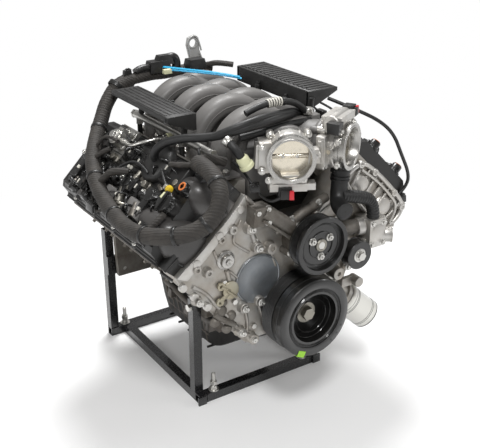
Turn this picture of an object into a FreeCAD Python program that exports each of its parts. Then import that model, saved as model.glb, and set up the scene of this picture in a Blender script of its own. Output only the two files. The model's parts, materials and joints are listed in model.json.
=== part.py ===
"""A complete V8 engine on its shipping stand, as a parametric FreeCAD document.

Millimetres, +Z up.  The crankshaft's centreline is the Y axis, the rear face of the engine
block is the plane Y = 0, and the engine's front faces -Y.  The engine's right bank lies
towards -X and its left bank towards +X.
"""
import FreeCAD, Part
import math
import os
import Sketcher

VEC = FreeCAD.Vector
TURN = FreeCAD.Rotation
ABOUT_X = VEC(1, 0, 0)
ABOUT_Y = VEC(0, 1, 0)
ABOUT_Z = VEC(0, 0, 1)

# name, value, what it sets.  Lengths are millimetres and angles are degrees.
SIZES = (
    ("bank_tilt", 45, "each cylinder bank from upright"),
    ("bore_radius", 46.5, "cylinder bore"),
    ("bore_pitch", 100, "one cylinder to the next along a bank"),
    ("bank_offset", 24, "right bank ahead of the left bank"),
    ("rear_cylinder", 63, "rear face of the block to the rearmost bore axis"),
    ("crank_throw", 46.35, "half the stroke"),
    ("rod_length", 150.7, "crankpin to wrist pin"),
    ("deck_height", 227, "crank centreline to the deck face"),
    ("block_length", 445, "rear face to front face of the block"),
    ("bank_half_width", 78, "half the width of a deck face"),
    ("skirt_half_width", 118, "half the width of the crankcase"),
    ("skirt_depth", 62, "crank centreline down to the pan rail"),
    ("block_wall", 12, "end and side walls of the crankcase"),
    ("bell_flange", 14, "thickness of the bell housing flange"),
    ("bell_half_width", 196, "half the width of the bell housing flange"),
    ("bell_hole_radius", 5, "threaded holes in the bell housing flange"),
    ("bell_low_bolt_drop", 70, "crank centreline down to the low bolts"),
    ("bell_low_bolt_side", 178, "low bolts from the centre plane"),
    ("bell_mid_bolt_rise", 60, "crank centreline up to the middle bolts"),
    ("bell_mid_bolt_side", 180, "middle bolts from the centre plane"),
    ("bell_top_bolt_rise", 186, "crank centreline up to the top bolts"),
    ("bell_top_bolt_side", 62, "top bolts from the centre plane"),
    ("main_radius", 33.75, "crankshaft main journals"),
    ("pin_radius", 26.5, "crankpins"),
    ("journal_length", 28, "main journal along the crankshaft"),
    ("web_thickness", 17, "each crank web"),
    ("counterweight_radius", 72, "crank counterweights"),
    ("web_boss_radius", 34, "crank web round the crankpin"),
    ("bearing_gap", 0.05, "running clearance of every journal"),
    ("crank_bay_radius", 84, "clearance bore round the crank webs"),
    ("cap_width", 26, "main bearing caps and bulkheads along the crankshaft"),
    ("cap_half_width", 62, "half the width of a main bearing cap"),
    ("cap_depth", 56, "main bearing cap below the crank centreline"),
    ("flange_radius", 50, "crankshaft rear flange"),
    ("flange_thickness", 11, "crankshaft rear flange"),
    ("flywheel_pitch_radius", 39.5, "flywheel bolt circle"),
    ("flywheel_hole_radius", 5, "flywheel bolts"),
    ("flywheel_bolts", 8, "how many flywheel bolts"),
    ("pilot_radius", 17, "pilot bore in the crankshaft's rear end"),
    ("pilot_depth", 22, "pilot bore in the crankshaft's rear end"),
    ("nose_radius", 19, "crankshaft nose"),
    ("nose_end", 544, "rear face of the block to the end of the nose"),
    ("crank_bolt_radius", 6, "crankshaft bolt"),
    ("seal_gap", 0.3, "crankshaft flange in its seal ring"),
    ("seal_ring_width", 9, "radial width of the rear seal ring"),
    ("piston_gap", 0.08, "piston in its bore"),
    ("piston_crown", 29.5, "wrist pin axis up to the crown"),
    ("piston_skirt", 17, "wrist pin axis down to the skirt's end"),
    ("piston_wall", 5, "piston skirt and crown"),
    ("ring_height", 1.5, "each piston ring"),
    ("ring_depth", 3.4, "each piston ring groove"),
    ("wrist_pin_radius", 11, "wrist pin"),
    ("crank_angle", 25, "front crankpin from upright, with the engine at rest"),
    ("gasket", 1.2, "head gasket"),
    ("head_top", 345, "crank centreline to the cam cover joint"),
    ("head_inboard", 112, "bank centre plane to the inlet side of a head"),
    ("head_outboard", 108, "bank centre plane to the exhaust side of a head"),
    ("head_rear", 10, "rear face of the block to the rear of a left head"),
    ("cam_height", 300, "crank centreline to the camshaft axes"),
    ("cam_spread", 50, "bank centre plane to each camshaft axis"),
    ("cam_radius", 13.5, "camshaft journals and core"),
    ("cam_base_radius", 15, "cam lobe base circle"),
    ("cam_lift", 4.5, "cam lobe offset from the camshaft axis"),
    ("cam_lobe_width", 12, "each cam lobe"),
    ("tower_width", 18, "camshaft bearing tower"),
    ("cam_trough_floor", 279, "crank centreline to the floor of the camshaft troughs"),
    ("head_wall", 24, "outer walls of the camshaft troughs"),
    ("centre_web", 18, "half the web between the two camshaft troughs"),
    ("plug_well_radius", 11.5, "spark plug wells"),
    ("port_radius", 15, "inlet and exhaust ports"),
    ("exhaust_rise", 27.8, "deck to the exhaust outlets in the head's outer face"),
    ("exhaust_spigot_radius", 17, "recess at each exhaust outlet"),
    ("exhaust_spigot_depth", 12, "recess at each exhaust outlet"),
    ("chamber_radius", 43, "combustion chambers"),
    ("chamber_depth", 11, "combustion chambers"),
    ("inlet_face_height", 296, "crank centreline to the inlet manifold joint"),
    ("inlet_port_side", 113, "centre plane to the inlet ports at the joint"),
    ("cover_top", 386, "crank centreline to the top of a cam cover"),
    ("cover_wall", 4, "cam cover and timing cover walls"),
    ("cover_margin", 6, "cam cover inside the edge of its head"),
    ("cover_flange", 8, "height of the cam cover's joint flange"),
    ("cover_front", 36, "cam cover ahead of the block's front face"),
    ("filler_across", 5, "oil filler inboard of the right bank's centre plane"),
    ("filler_from_rear", 461, "rear face of the block to the oil filler axis"),
    ("filler_radius", 17, "oil filler neck"),
    ("filler_rise", 16, "oil filler neck above the cam cover"),
    ("coil_width", 34, "ignition coil head across the bank"),
    ("coil_length", 52, "ignition coil head along the bank"),
    ("coil_height", 12, "ignition coil head"),
    ("coil_fit", 0.5, "coil stem in its well"),
    ("timing_depth", 62, "timing cover from its joint to its front face"),
    ("lobe_depth", 6, "timing cover lobes ahead of its front face"),
    ("timing_low_half", 114, "half the width of the timing cover at the pan rail"),
    ("seal_bore_gap", 0.4, "damper hub in the timing cover"),
    ("sprocket_start", 8, "block front face to the timing sprockets"),
    ("sprocket_width", 12, "timing sprockets"),
    ("cam_sprocket_radius", 33, "camshaft sprockets and phasers"),
    ("phaser_width", 30, "camshaft phaser ahead of its sprocket"),
    ("crank_sprocket_radius", 30, "crankshaft sprocket"),
    ("chain_gap", 0.5, "chain outside its sprockets"),
    ("chain_thickness", 5, "timing chain"),
    ("chain_width", 9, "timing chain"),
    ("damper_radius", 91, "crankshaft damper"),
    ("damper_front", 586, "rear face of the block to the damper's front face"),
    ("damper_depth", 72, "damper front to back"),
    ("damper_recess_radius", 57, "recess in the damper's front"),
    ("damper_joint_radius", 69, "middle of the damper's rubber"),
    ("damper_rubber", 3, "thickness of the damper's rubber"),
    ("damper_hub_radius", 30, "damper hub round the crankshaft nose"),
    ("groove_pitch", 3.56, "belt grooves"),
    ("groove_depth", 3, "belt grooves"),
    ("pump_side", 15.5, "water pump axis from the centre plane"),
    ("pump_rise", 168, "water pump axis above the crank centreline"),
    ("pump_pulley_radius", 62, "water pump pulley"),
    ("pump_pulley_depth", 40, "water pump pulley rim"),
    ("pump_shaft_radius", 8, "water pump shaft"),
    ("pump_body_radius", 52, "water pump body"),
    ("idler_side", 127, "idler axis from the centre plane"),
    ("idler_rise", 113, "idler axis above the crank centreline"),
    ("idler_radius", 31, "idler pulley"),
    ("idler_width", 30, "idler pulley"),
    ("idler_boss", 32, "idler boss ahead of the timing cover"),
    ("hub_start", 502, "rear face of the block to the rear of the damper hub"),
    ("pan_depth", 200, "crank centreline down to the bottom of the oil pan"),
    ("pan_front_depth", 108, "crank centreline down to the front of the oil pan"),
    ("pan_half_width", 124, "half the width of the oil pan's flange"),
    ("pan_wall", 3, "oil pan wall"),
    ("runner_radius", 23, "inlet runners outside"),
    ("runner_wall", 3.5, "inlet manifold wall"),
    ("runner_bend", 86, "inlet runner bend at its centreline"),
    ("runner_bend_height", 326, "crank centreline to the centres of the runner bends"),
    ("plenum_half_width", 84, "half the width of the inlet plenum"),
    ("plenum_floor", 244, "crank centreline to the plenum's floor"),
    ("plenum_top", 334, "crank centreline to the plenum's roof"),
    ("plenum_rear", 37, "block's rear face to the plenum's rear wall"),
    ("throttle_radius", 40, "throttle bores"),
    ("throttle_wall", 6, "throttle housing wall"),
    ("throttle_length", 62, "throttle housing"),
    ("duct_seat_depth", 20, "duct's seat inside each throttle mouth"),
    ("duct_seat_step", 1, "duct's seat over the throttle bore"),
    ("throttle_yaw", 29, "each throttle turned outwards"),
    ("throttle_rise", 365, "crank centreline to the throttle bores"),
    ("right_throttle_side", -55, "right throttle's mouth from the centre plane"),
    ("left_throttle_side", 100, "left throttle's mouth from the centre plane"),
    ("throttle_front", 562, "rear face of the block to the throttle mouths"),
    ("throttle_gap", 0.2, "throttle plate in its bore"),
    ("throttle_shaft_radius", 5, "throttle shaft"),
    ("floor_drop", 279, "crank centreline down to the floor"),
    ("stand_tube", 22, "outside of the stand's square tube"),
    ("stand_wall", 2, "wall of the stand's square tube"),
    ("stand_half_width", 175, "half the width over the side rails"),
    ("stand_front", 381, "rear face of the block to the front of the stand"),
    ("stand_rear", 41, "rear face of the block back to the rear of the stand"),
    ("rear_rail_half", 214, "half the length of the rear rail"),
    ("front_post_top", 10, "crank centreline down to the top of the front posts"),
    ("rear_post_top", 33, "crank centreline up to the top of the rear posts"),
    ("stand_front_stud", 130, "front shipping studs from the centre plane"),
    ("stand_rear_stud", 168, "rear shipping studs from the centre plane"),
    ("stud_radius", 5, "shipping studs"),
    ("stud_length", 45, "shipping studs"),
    ("nut_radius", 9, "nuts across their corners, halved"),
    ("nut_height", 8, "nuts"),
    ("bolt_radius", 3, "cover bolts"),
    ("bolt_head_radius", 6.5, "cover bolt heads across their corners, halved"),
    ("bolt_head", 6, "height of a cover bolt head"),
    ("bolt_grip", 16, "cover bolt shank in its threaded hole"),
    ("bolt_fit", 0.1, "bolts in their holes"),
    ("filter_radius", 38, "oil filter"),
    ("filter_length", 86, "oil filter"),
    ("loom_radius", 18, "main wiring loom"),
    ("rear_loom_radius", 13, "wiring loom behind the inlet manifold"),
    ("hose_radius", 9, "breather hoses"),
    ("dipstick_radius", 3, "dipstick rod"),
    ("dipstick_across", 31, "dipstick inboard of the right bank's centre plane"),
    ("dipstick_from_front", 5.5, "dipstick behind the block's front face"),
    ("dipstick_low", 120, "crank centreline to the dipstick's end"),
    ("dipstick_high", 404, "crank centreline to the top of the dipstick tube"),
    ("front_wall", 6, "front wall of the crankcase below the main bearings"),
    ("rail_side", 150, "fuel rails from the centre plane"),
    ("rail_rise", 354, "crank centreline to the fuel rails"),
    ("rail_radius", 9, "fuel rails"),
    ("injector_radius", 6, "fuel injectors"),
    ("cup_radius", 8, "injector cups under the fuel rails"),
    ("trim_skirt_wall", 8, "inner skirts of the trim covers"),
    ("trim_skirt_depth", 34, "inner skirts of the trim covers, from the top down"),
    ("solenoid_radius", 10, "cam timing solenoids"),
    ("housing_side", 166, "thermostat housing's inner face from the centre plane"),
    ("plate", 6, "bracket plate"),
)


class Size:
    """A length or an angle: its value now, and the expression that the document keeps."""

    def __init__(self, value, text):
        self.value = float(value)
        self.text = text

    @staticmethod
    def of(other):
        return other if isinstance(other, Size) else Size(other, "%.10g" % other)

    def _join(self, other, sign, value):
        return Size(value, "(%s %s %s)" % (self.text, sign, other.text))

    def __add__(self, other):
        other = Size.of(other)
        return self._join(other, "+", self.value + other.value)

    def __radd__(self, other):
        return Size.of(other) + self

    def __sub__(self, other):
        other = Size.of(other)
        return self._join(other, "-", self.value - other.value)

    def __rsub__(self, other):
        return Size.of(other) - self

    def __mul__(self, other):
        other = Size.of(other)
        return self._join(other, "*", self.value * other.value)

    def __rmul__(self, other):
        return Size.of(other) * self

    def __truediv__(self, other):
        other = Size.of(other)
        return self._join(other, "/", self.value / other.value)

    def __neg__(self):
        return Size(-self.value, "(0 - %s)" % self.text)


def sine(angle):
    return Size(math.sin(math.radians(angle.value)), "sin(%s)" % angle.text)


def cosine(angle):
    return Size(math.cos(math.radians(angle.value)), "cos(%s)" % angle.text)


doc = FreeCAD.newDocument("v8_engine")
sheet = doc.addObject("Spreadsheet::Sheet", "Sizes")
for row, (name, value, note) in enumerate(SIZES, start=1):
    sheet.set("A%d" % row, note)
    sheet.set("B%d" % row, "%.10g" % value)
    sheet.setAlias("B%d" % row, name)
doc.recompute()


class Sheet:
    """Reads the spreadsheet: each driving dimension as a Size."""

    def __getattr__(self, name):
        return Size(sheet.get(name), "Sizes." + name)


S = Sheet()
NODES = {}


# ---------------------------------------------------------------- document helpers

def bind(obj, prop, size):
    size = Size.of(size)
    if not prop.startswith("Placement"):
        setattr(obj, prop, size.value)
    obj.setExpression(prop, size.text)


def put(obj, x=0, y=0, z=0, turn=None):
    """Place an object, with its place bound to the sheet."""
    spot = [Size.of(value) for value in (x, y, z)]
    obj.Placement = FreeCAD.Placement(VEC(*(item.value for item in spot)), turn or TURN())
    for axis, item in zip("xyz", spot):
        if item.text != "0":
            obj.setExpression("Placement.Base." + axis, item.text)
    return obj


def fresh(kind, name):
    obj = doc.addObject(kind, name)
    return obj


def box(x0, x1, y0, y1, z0, z1, name="block_piece"):
    """A box between two corners, given in either order."""
    ends = []
    for first, last in ((x0, x1), (y0, y1), (z0, z1)):
        first, last = Size.of(first), Size.of(last)
        ends.append((first, last) if first.value < last.value else (last, first))
    obj = fresh("Part::Box", name)
    for prop, (first, last) in zip(("Length", "Width", "Height"), ends):
        bind(obj, prop, last - first)
    return put(obj, *(first for first, _ in ends))


TURN_TO = {
    "+X": TURN(ABOUT_Y, 90), "-X": TURN(ABOUT_Y, -90),
    "+Y": TURN(ABOUT_X, -90), "-Y": TURN(ABOUT_X, 90),
    "+Z": TURN(), "-Z": TURN(ABOUT_X, 180),
}


def rod(way, radius, length, x=0, y=0, z=0, name="round_piece", top_radius=None):
    """A cylinder, or a cone, from a point along an axis or a rotation's own Z."""
    if top_radius is None:
        obj = fresh("Part::Cylinder", name)
        bind(obj, "Radius", radius)
    else:
        obj = fresh("Part::Cone", name)
        bind(obj, "Radius1", radius)
        bind(obj, "Radius2", top_radius)
    bind(obj, "Height", length)
    return put(obj, x, y, z, TURN_TO[way] if isinstance(way, str) else way)


def hexagon(way, radius, length, x=0, y=0, z=0):
    obj = fresh("Part::Prism", "hexagon")
    obj.Polygon = 6
    bind(obj, "Circumradius", radius)
    bind(obj, "Height", length)
    return put(obj, x, y, z, TURN_TO[way] if isinstance(way, str) else way)


def fuse(*pieces):
    pieces = list(pieces)
    if len(pieces) == 1:
        return pieces[0]
    obj = fresh("Part::MultiFuse", "fused")
    obj.Shapes = pieces
    return obj


def cut(base, *tools):
    obj = fresh("Part::Cut", "cut")
    obj.Base = base
    obj.Tool = fuse(*tools)
    return obj


def group(*pieces):
    obj = fresh("Part::Compound", "group")
    obj.Links = list(pieces)
    return obj


def made(shape, name="made"):
    obj = fresh("Part::Feature", name)
    obj.Shape = shape
    return obj


def lean(obj, side):
    """Lean something built upright over to a bank: side is -1 right or +1 left."""
    obj.Placement = FreeCAD.Placement(VEC(0, 0, 0), TURN(ABOUT_Y, S.bank_tilt.value * side))
    obj.setExpression("Placement.Rotation.Angle", (S.bank_tilt * side).text)
    return obj


def node(label, obj):
    obj.Label = label
    NODES[label] = obj
    return obj


def plane_of(body, role):
    return [item for item in body.Origin.OriginFeatures if item.Role == role][0]


def outline(body, role, points, name="outline"):
    """A closed sketch of straight lines whose corners are bound to the sheet."""
    sketch = body.newObject("Sketcher::SketchObject", name)
    sketch.AttachmentSupport = [(plane_of(body, role), "")]
    sketch.MapMode = "FlatFace"
    points = [(Size.of(x), Size.of(y)) for x, y in points]
    corners = [VEC(x.value, y.value, 0) for x, y in points]
    for index, corner in enumerate(corners):
        following = corners[(index + 1) % len(corners)]
        sketch.addGeometry(Part.LineSegment(corner, following), False)
    for index in range(len(corners)):
        sketch.addConstraint(
            Sketcher.Constraint("Coincident", index, 2, (index + 1) % len(corners), 1))
    for index, pair in enumerate(points):
        for kind, size in zip(("DistanceX", "DistanceY"), pair):
            rule = Sketcher.Constraint(kind, -1, 1, index, 1, size.value)
            number = sketch.addConstraint(rule)
            sketch.setExpression("Constraints[%d]" % number, size.text)
    return sketch


def pad(body, role, points, length, reverse=False, middle=False):
    feature = body.newObject("PartDesign::Pad", "pad")
    feature.Profile = outline(body, role, points)
    bind(feature, "Length", length)
    feature.Reversed = reverse
    feature.Midplane = middle
    return feature


def turned(name, profile, x=0, y=0, z=0, way="-Y"):
    """A turned body: profile is (radius, distance along the axis) corner by corner."""
    body = fresh("PartDesign::Body", name)
    feature = body.newObject("PartDesign::Revolution", "turned")
    sketch = outline(body, "XZ_Plane", profile)
    feature.Profile = sketch
    feature.ReferenceAxis = (sketch, ["V_Axis"])
    feature.Angle = 360
    put(body, x, y, z, TURN_TO[way] if isinstance(way, str) else way)
    return body


def bank_point(side, height, across):
    """A point of a bank's own frame (height up the bank, across outwards) in X and Z."""
    tilt = S.bank_tilt
    x = height * sine(tilt) + across * cosine(tilt)
    z = height * cosine(tilt) - across * sine(tilt)
    return x * side, z


def cylinder_y(side, number):
    """Y of a bore axis: number 0 is the rearmost of its bank."""
    offset = S.bank_offset if side < 0 else 0
    return -(S.rear_cylinder + offset + S.bore_pitch * number)


def pin_y(number):
    return -(S.rear_cylinder + S.bank_offset / 2 + S.bore_pitch * number)


def main_y(number):
    return -(S.rear_cylinder + S.bank_offset / 2 + S.bore_pitch * (number - 0.5))


def smooth_path(points, share=0.45):
    """Straight runs joined by tangent arcs: the wire and the arcs' radii."""
    points = [VEC(*point) for point in points]
    edges = []
    radii = []
    start = points[0]
    for before, corner, after in zip(points, points[1:], points[2:]):
        inward = (before - corner).normalize()
        outward = (after - corner).normalize()
        turn = math.pi - inward.getAngle(outward)
        shorter = min((before - corner).Length, (after - corner).Length)
        radius = share * shorter / math.tan(turn / 2)
        reach = radius * math.tan(turn / 2)
        first = corner + inward * reach
        last = corner + outward * reach
        centre_way = (inward + outward).normalize()
        centre = corner + centre_way * (radius / math.cos(turn / 2))
        middle = centre - centre_way * radius
        edges.append(Part.LineSegment(start, first).toShape())
        edges.append(Part.Arc(first, middle, last).toShape())
        radii.append(radius)
        start = last
    edges.append(Part.LineSegment(start, points[-1]).toShape())
    return Part.Wire(edges), radii


def tube(points, radius, inner=0, name="tube"):
    """A round tube along a smooth path, solid or hollow."""
    wire, radii = smooth_path(points)
    way = VEC(*points[1]) - VEC(*points[0])
    shapes = []
    for size in (radius, inner):
        if size > 0:
            ring = Part.Wire(Part.makeCircle(size, VEC(*points[0]), way))
            shapes.append(wire.makePipeShell([ring], True, False))
    shape = shapes[0] if inner <= 0 else shapes[0].cut(shapes[1])
    print("%s: shortest bend radius %.0f, volume over section times length %.4f" % (
        name, min(radii),
        shape.Volume / (math.pi * (radius ** 2 - inner ** 2) * wire.Length)))
    return shape


# ---------------------------------------------------------------- block and crankshaft

SIDES = {"right": -1, "left": 1}


def mirrored(points):
    """Points down the +X side, followed by the same points back up the -X side."""
    points = [(Size.of(x), Size.of(z)) for x, z in points]
    return points + [(-x, z) for x, z in reversed(points)]


def block_section():
    tilt = S.bank_tilt
    half = S.bank_half_width
    knee_up = (S.skirt_half_width - half * cosine(tilt)) / sine(tilt)
    knee = bank_point(1, knee_up, half)
    outer = bank_point(1, S.deck_height, half)
    inner = bank_point(1, S.deck_height, -half)
    valley = half / sine(tilt)
    right_way = [(S.skirt_half_width, -S.skirt_depth), knee, outer, inner]
    left_way = [(-x, z) for x, z in reversed(right_way)]
    return right_way + [(0, valley)] + left_way


def bell_section():
    wide = S.bell_half_width
    points = [(wide, -S.bell_low_bolt_drop - 18), (wide + 6, S.bell_mid_bolt_rise + 16),
              (S.bell_top_bolt_side + 34, S.bell_top_bolt_rise + 16)]
    return mirrored(points)


BELL_BOLTS = [(S.bell_low_bolt_side, -S.bell_low_bolt_drop),
              (S.bell_mid_bolt_side, S.bell_mid_bolt_rise),
              (S.bell_top_bolt_side, S.bell_top_bolt_rise)]
FRONT_POST_Y = -(S.stand_front - S.stand_tube * 1.5)
POST_INNER = S.stand_half_width - S.stand_tube


def timing_bolts():
    """Timing cover bolts: X, Z of each, all over the block's front face."""
    spots = []
    for side in SIDES.values():
        for height, across in ((205, 54), (205, -54), (150, 73)):
            spots.append(bank_point(side, height, across))
        spots.append(((S.skirt_half_width - 9) * side, -20))
        spots.append(((S.skirt_half_width - 9) * side, -50))
    spots.append((0, S.bank_half_width / sine(S.bank_tilt) - 10))
    return spots


TIMING_BOLTS = timing_bolts()


def dipstick_bore(low, high, radius=None):
    """The dipstick's drilling through a right bank piece, in the bank's own frame."""
    radius = radius or S.dipstick_radius + 0.3
    return rod("+Z", radius, high - low, x=S.dipstick_across,
               y=-(S.block_length - S.dipstick_from_front), z=low, name="dipstick_bore")


def engine_block():
    body = fresh("PartDesign::Body", "block_casting")
    pad(body, "XZ_Plane", block_section(), S.block_length)
    pad(body, "XZ_Plane", bell_section(), S.bell_flange)
    bosses = []
    for side in SIDES.values():
        bosses.append(box((S.skirt_half_width - 6) * side, POST_INNER * side,
                          FRONT_POST_Y - 32, FRONT_POST_Y + 32, -S.front_post_top - 40,
                          -S.front_post_top + 8, "mount_boss"))
    casting = fuse(body, *bosses)
    tools = []
    wall = S.block_wall
    half_cap = S.cap_width / 2
    for number in range(4):
        start = main_y(number + 1) + half_cap
        tools.append(rod("+Y", S.crank_bay_radius, S.bore_pitch - S.cap_width, y=start))
    inside = S.skirt_half_width - wall
    tools.append(box(-inside, inside, -(S.block_length - S.front_wall), -wall,
                     -S.skirt_depth - 1, 0))
    tools.append(rod("-Y", S.main_radius + S.bearing_gap, S.block_length + 1, y=1))
    tools.append(rod("-Y", S.flange_radius + S.seal_ring_width, wall, y=0))
    for side in SIDES.values():
        bores = []
        for number in range(4):
            bores.append(rod("+Z", S.bore_radius, S.deck_height - 59,
                             y=cylinder_y(side, number), z=60))
        if side < 0:
            bores.append(dipstick_bore(S.dipstick_low - 8, S.deck_height + 1))
        tools.append(lean(fuse(*bores), side))
        for x, z in BELL_BOLTS:
            tools.append(rod("-Y", S.bell_hole_radius, S.bell_flange, x=x * side, z=z))
        tools.append(rod("+X", S.stud_radius + S.bolt_fit, 26, x=POST_INNER * side - 13,
                         y=FRONT_POST_Y, z=-S.front_post_top - 20))
    for x, z in TIMING_BOLTS:
        tools.append(rod("+Y", S.bolt_radius + S.bolt_fit, S.bolt_grip,
                         x=x, y=-S.block_length, z=z))
    node("engine_block", cut(casting, *tools))


def main_bearing_caps():
    half = S.cap_width / 2
    caps = []
    for number in range(5):
        y = main_y(number)
        caps.append(box(-S.cap_half_width, S.cap_half_width, y - half, y + half,
                        -S.cap_depth, 0, "cap"))
    separate = []
    for cap in caps:
        separate.append(cut(cap, rod("-Y", S.main_radius + S.bearing_gap,
                                     S.block_length, y=0)))
    node("main_bearing_caps", group(*separate))


def pin_angle(number):
    """Angle of a crankpin from upright, turning towards +X: number 0 is the rearmost."""
    return S.crank_angle + (180, 270, 90, 0)[number]


def crankshaft():
    pieces = []
    end = S.journal_length / 2
    for number in range(5):
        y = main_y(number)
        pieces.append(rod("+Y", S.main_radius, S.journal_length, y=y - end))
    for number in range(4):
        angle = pin_angle(number)
        x = S.crank_throw * sine(angle)
        z = S.crank_throw * cosine(angle)
        pin_length = S.bore_pitch - S.journal_length - S.web_thickness * 2
        first = pin_y(number) - pin_length / 2
        pieces.append(rod("+Y", S.pin_radius, pin_length, x=x, y=first, z=z))
        for start in (first - S.web_thickness, first + pin_length):
            weight = rod("+Y", S.counterweight_radius, S.web_thickness, name="counterweight")
            weight.Angle = 170
            throw = box(-S.web_boss_radius, S.web_boss_radius, 0, S.web_thickness,
                        -20, S.crank_throw, "throw")
            boss = rod("+Y", S.web_boss_radius, S.web_thickness, z=S.crank_throw)
            weight.Placement = FreeCAD.Placement(
                VEC(), TURN(ABOUT_Y, 85) * TURN(ABOUT_X, -90) * TURN(ABOUT_Z, 90))
            web = fuse(weight, throw, boss)
            web.Placement = FreeCAD.Placement(
                VEC(0, start.value, 0), TURN(ABOUT_Y, angle.value))
            web.setExpression("Placement.Base.y", start.text)
            web.setExpression("Placement.Rotation.Angle", angle.text)
            pieces.append(web)
    rear = main_y(0) + end
    pieces.append(rod("-Y", S.flange_radius, S.flange_thickness, y=0))
    pieces.append(rod("+Y", S.main_radius, -rear, y=rear))
    front = main_y(4) - end
    pieces.append(rod("-Y", S.nose_radius, front + S.nose_end, y=front))
    tools = [rod("-Y", S.pilot_radius, S.pilot_depth, y=0)]
    for number in range(int(S.flywheel_bolts.value)):
        angle = Size.of(360.0 * number / S.flywheel_bolts.value)
        tools.append(rod("-Y", S.flywheel_hole_radius, S.flange_thickness,
                         x=S.flywheel_pitch_radius * sine(angle),
                         z=S.flywheel_pitch_radius * cosine(angle)))
    tools.append(rod("+Y", S.crank_bolt_radius + S.bolt_fit, 44, y=-S.nose_end))
    node("crankshaft", cut(fuse(*pieces), *tools))


def rear_main_seal():
    outer = rod("-Y", S.flange_radius + S.seal_ring_width, S.block_wall, y=0)
    return cut(outer, rod("-Y", S.flange_radius + S.seal_gap, S.block_wall, y=0))


def piston_rest(side, number):
    """Height of a wrist pin up its bank with the crankshaft at rest."""
    swing = pin_angle(number) - S.bank_tilt * side
    along = S.crank_throw * cosine(swing)
    across = S.crank_throw * sine(swing)
    squared = S.rod_length * S.rod_length - across * across
    return along + Size(math.sqrt(squared.value), "sqrt(%s)" % squared.text)


def piston(label, side, number):
    radius = S.bore_radius - S.piston_gap
    inner = radius - S.piston_wall
    crown = S.piston_crown
    groove = radius - S.ring_depth
    high = [crown - 4, crown - 9, crown - 14]
    profile = [(0, crown), (radius, crown)]
    for level in high:
        profile += [(radius, level), (groove, level), (groove, level - S.ring_height),
                    (radius, level - S.ring_height)]
    profile += [(radius, -S.piston_skirt), (inner, -S.piston_skirt),
                (inner, crown - 22), (0, crown - 22)]
    slug = turned("piston_slug", profile, way=TURN())
    pin_box = box(-14, 14, -inner, inner, -14, 14, "pin_boss")
    gap_box = box(-14, 14, -15, 15, -14, 14, "rod_gap")
    bossed = cut(fuse(slug, cut(pin_box, gap_box)),
                 rod("+Y", S.wrist_pin_radius, radius * 2, y=-radius))
    pin = rod("+Y", S.wrist_pin_radius, radius * 2 - 12, y=-radius + 6, name="wrist_pin")
    rings = []
    for level in high:
        band = cut(rod("+Z", radius, S.ring_height, z=level - S.ring_height),
                   rod("+Z", groove, S.ring_height, z=level - S.ring_height))
        rings.append(band)
    lifted = group(bossed, pin, *rings)
    spot = bank_point(side, piston_rest(side, number), 0)
    put(lifted, spot[0], cylinder_y(side, number), spot[1])
    lifted.Placement.Rotation = TURN(ABOUT_Y, S.bank_tilt.value * side)
    lifted.setExpression("Placement.Rotation.Angle", (S.bank_tilt * side).text)
    node(label, lifted)


# ---------------------------------------------------------------- heads and valve gear

def head_rear(side):
    return -(S.head_rear + (S.bank_offset if side < 0 else 0))


def cylinder_head(label, side):
    rear = head_rear(side)
    front = -S.block_length
    base = S.deck_height + S.gasket
    casting = box(-S.head_inboard * side, S.head_outboard * side, front, rear, base,
                  S.head_top, "head_casting")
    tools = []
    outer = S.head_outboard - S.head_wall
    tower = S.tower_width / 2
    edges = [rear - 12]
    for number in range(3):
        y = (cylinder_y(side, number) + cylinder_y(side, number + 1)) / 2
        edges += [y + tower, y - tower]
    edges += [front + S.tower_width]
    for inner_edge, outer_edge in ((S.centre_web, outer), (-S.centre_web, -outer)):
        for start, stop in zip(edges[0::2], edges[1::2]):
            tools.append(box(inner_edge * side, outer_edge * side, start, stop,
                             S.cam_trough_floor, S.head_top + 1, "trough"))
    for across in (S.cam_spread, -S.cam_spread):
        tools.append(rod("-Y", S.cam_radius + S.bearing_gap, S.block_length - 4,
                         x=across * side, y=-4, z=S.cam_height))
    if side < 0:
        tools.append(dipstick_bore(base - 1, S.head_top + 1))
    for number in range(4):
        y = cylinder_y(side, number)
        tools.append(rod("+Z", S.chamber_radius, S.chamber_depth, y=y, z=base))
        tools.append(rod("+Z", S.plug_well_radius, S.head_top - base, y=y, z=base))
        tools.append(rod(TURN(ABOUT_Y, 84 * side), S.port_radius, 76,
                         x=26 * side, y=y, z=base + 20, name="exhaust_port"))
        tools.append(rod("+X" if side > 0 else "-X", S.exhaust_spigot_radius,
                         S.exhaust_spigot_depth,
                         x=(S.head_outboard - S.exhaust_spigot_depth) * side, y=y,
                         z=base + S.exhaust_rise, name="exhaust_recess"))
    upright = cut(casting, *tools)
    lean(upright, side)
    ports = []
    shelf = box((S.inlet_port_side - 24) * side, (S.inlet_port_side + 26) * side, front,
                rear, S.inlet_face_height - 34, S.inlet_face_height, "inlet_shelf")
    side_cut = box(-S.head_inboard * side, (S.head_inboard + 60) * side, front, rear,
                   base, S.head_top + 60, "inside_head")
    lean(side_cut, side)
    pieces = fuse(upright, cut(shelf, side_cut))
    for number in range(4):
        y = cylinder_y(side, number)
        ports.append(rod("-Z", S.runner_radius - S.runner_wall, 22,
                         x=S.inlet_port_side * side, y=y, z=S.inlet_face_height))
        low = bank_point(side, base + 20, -26)
        ports.append(rod(TURN(ABOUT_Y, -28 * side), S.port_radius, 90, x=low[0], y=y,
                         z=low[1], name="inlet_port"))
        ports.append(rod("+Z", S.injector_radius + S.bolt_fit, 40, x=S.rail_side * side,
                         y=y, z=S.inlet_face_height + 3, name="injector_seat"))
    node(label, cut(pieces, *ports))


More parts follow.
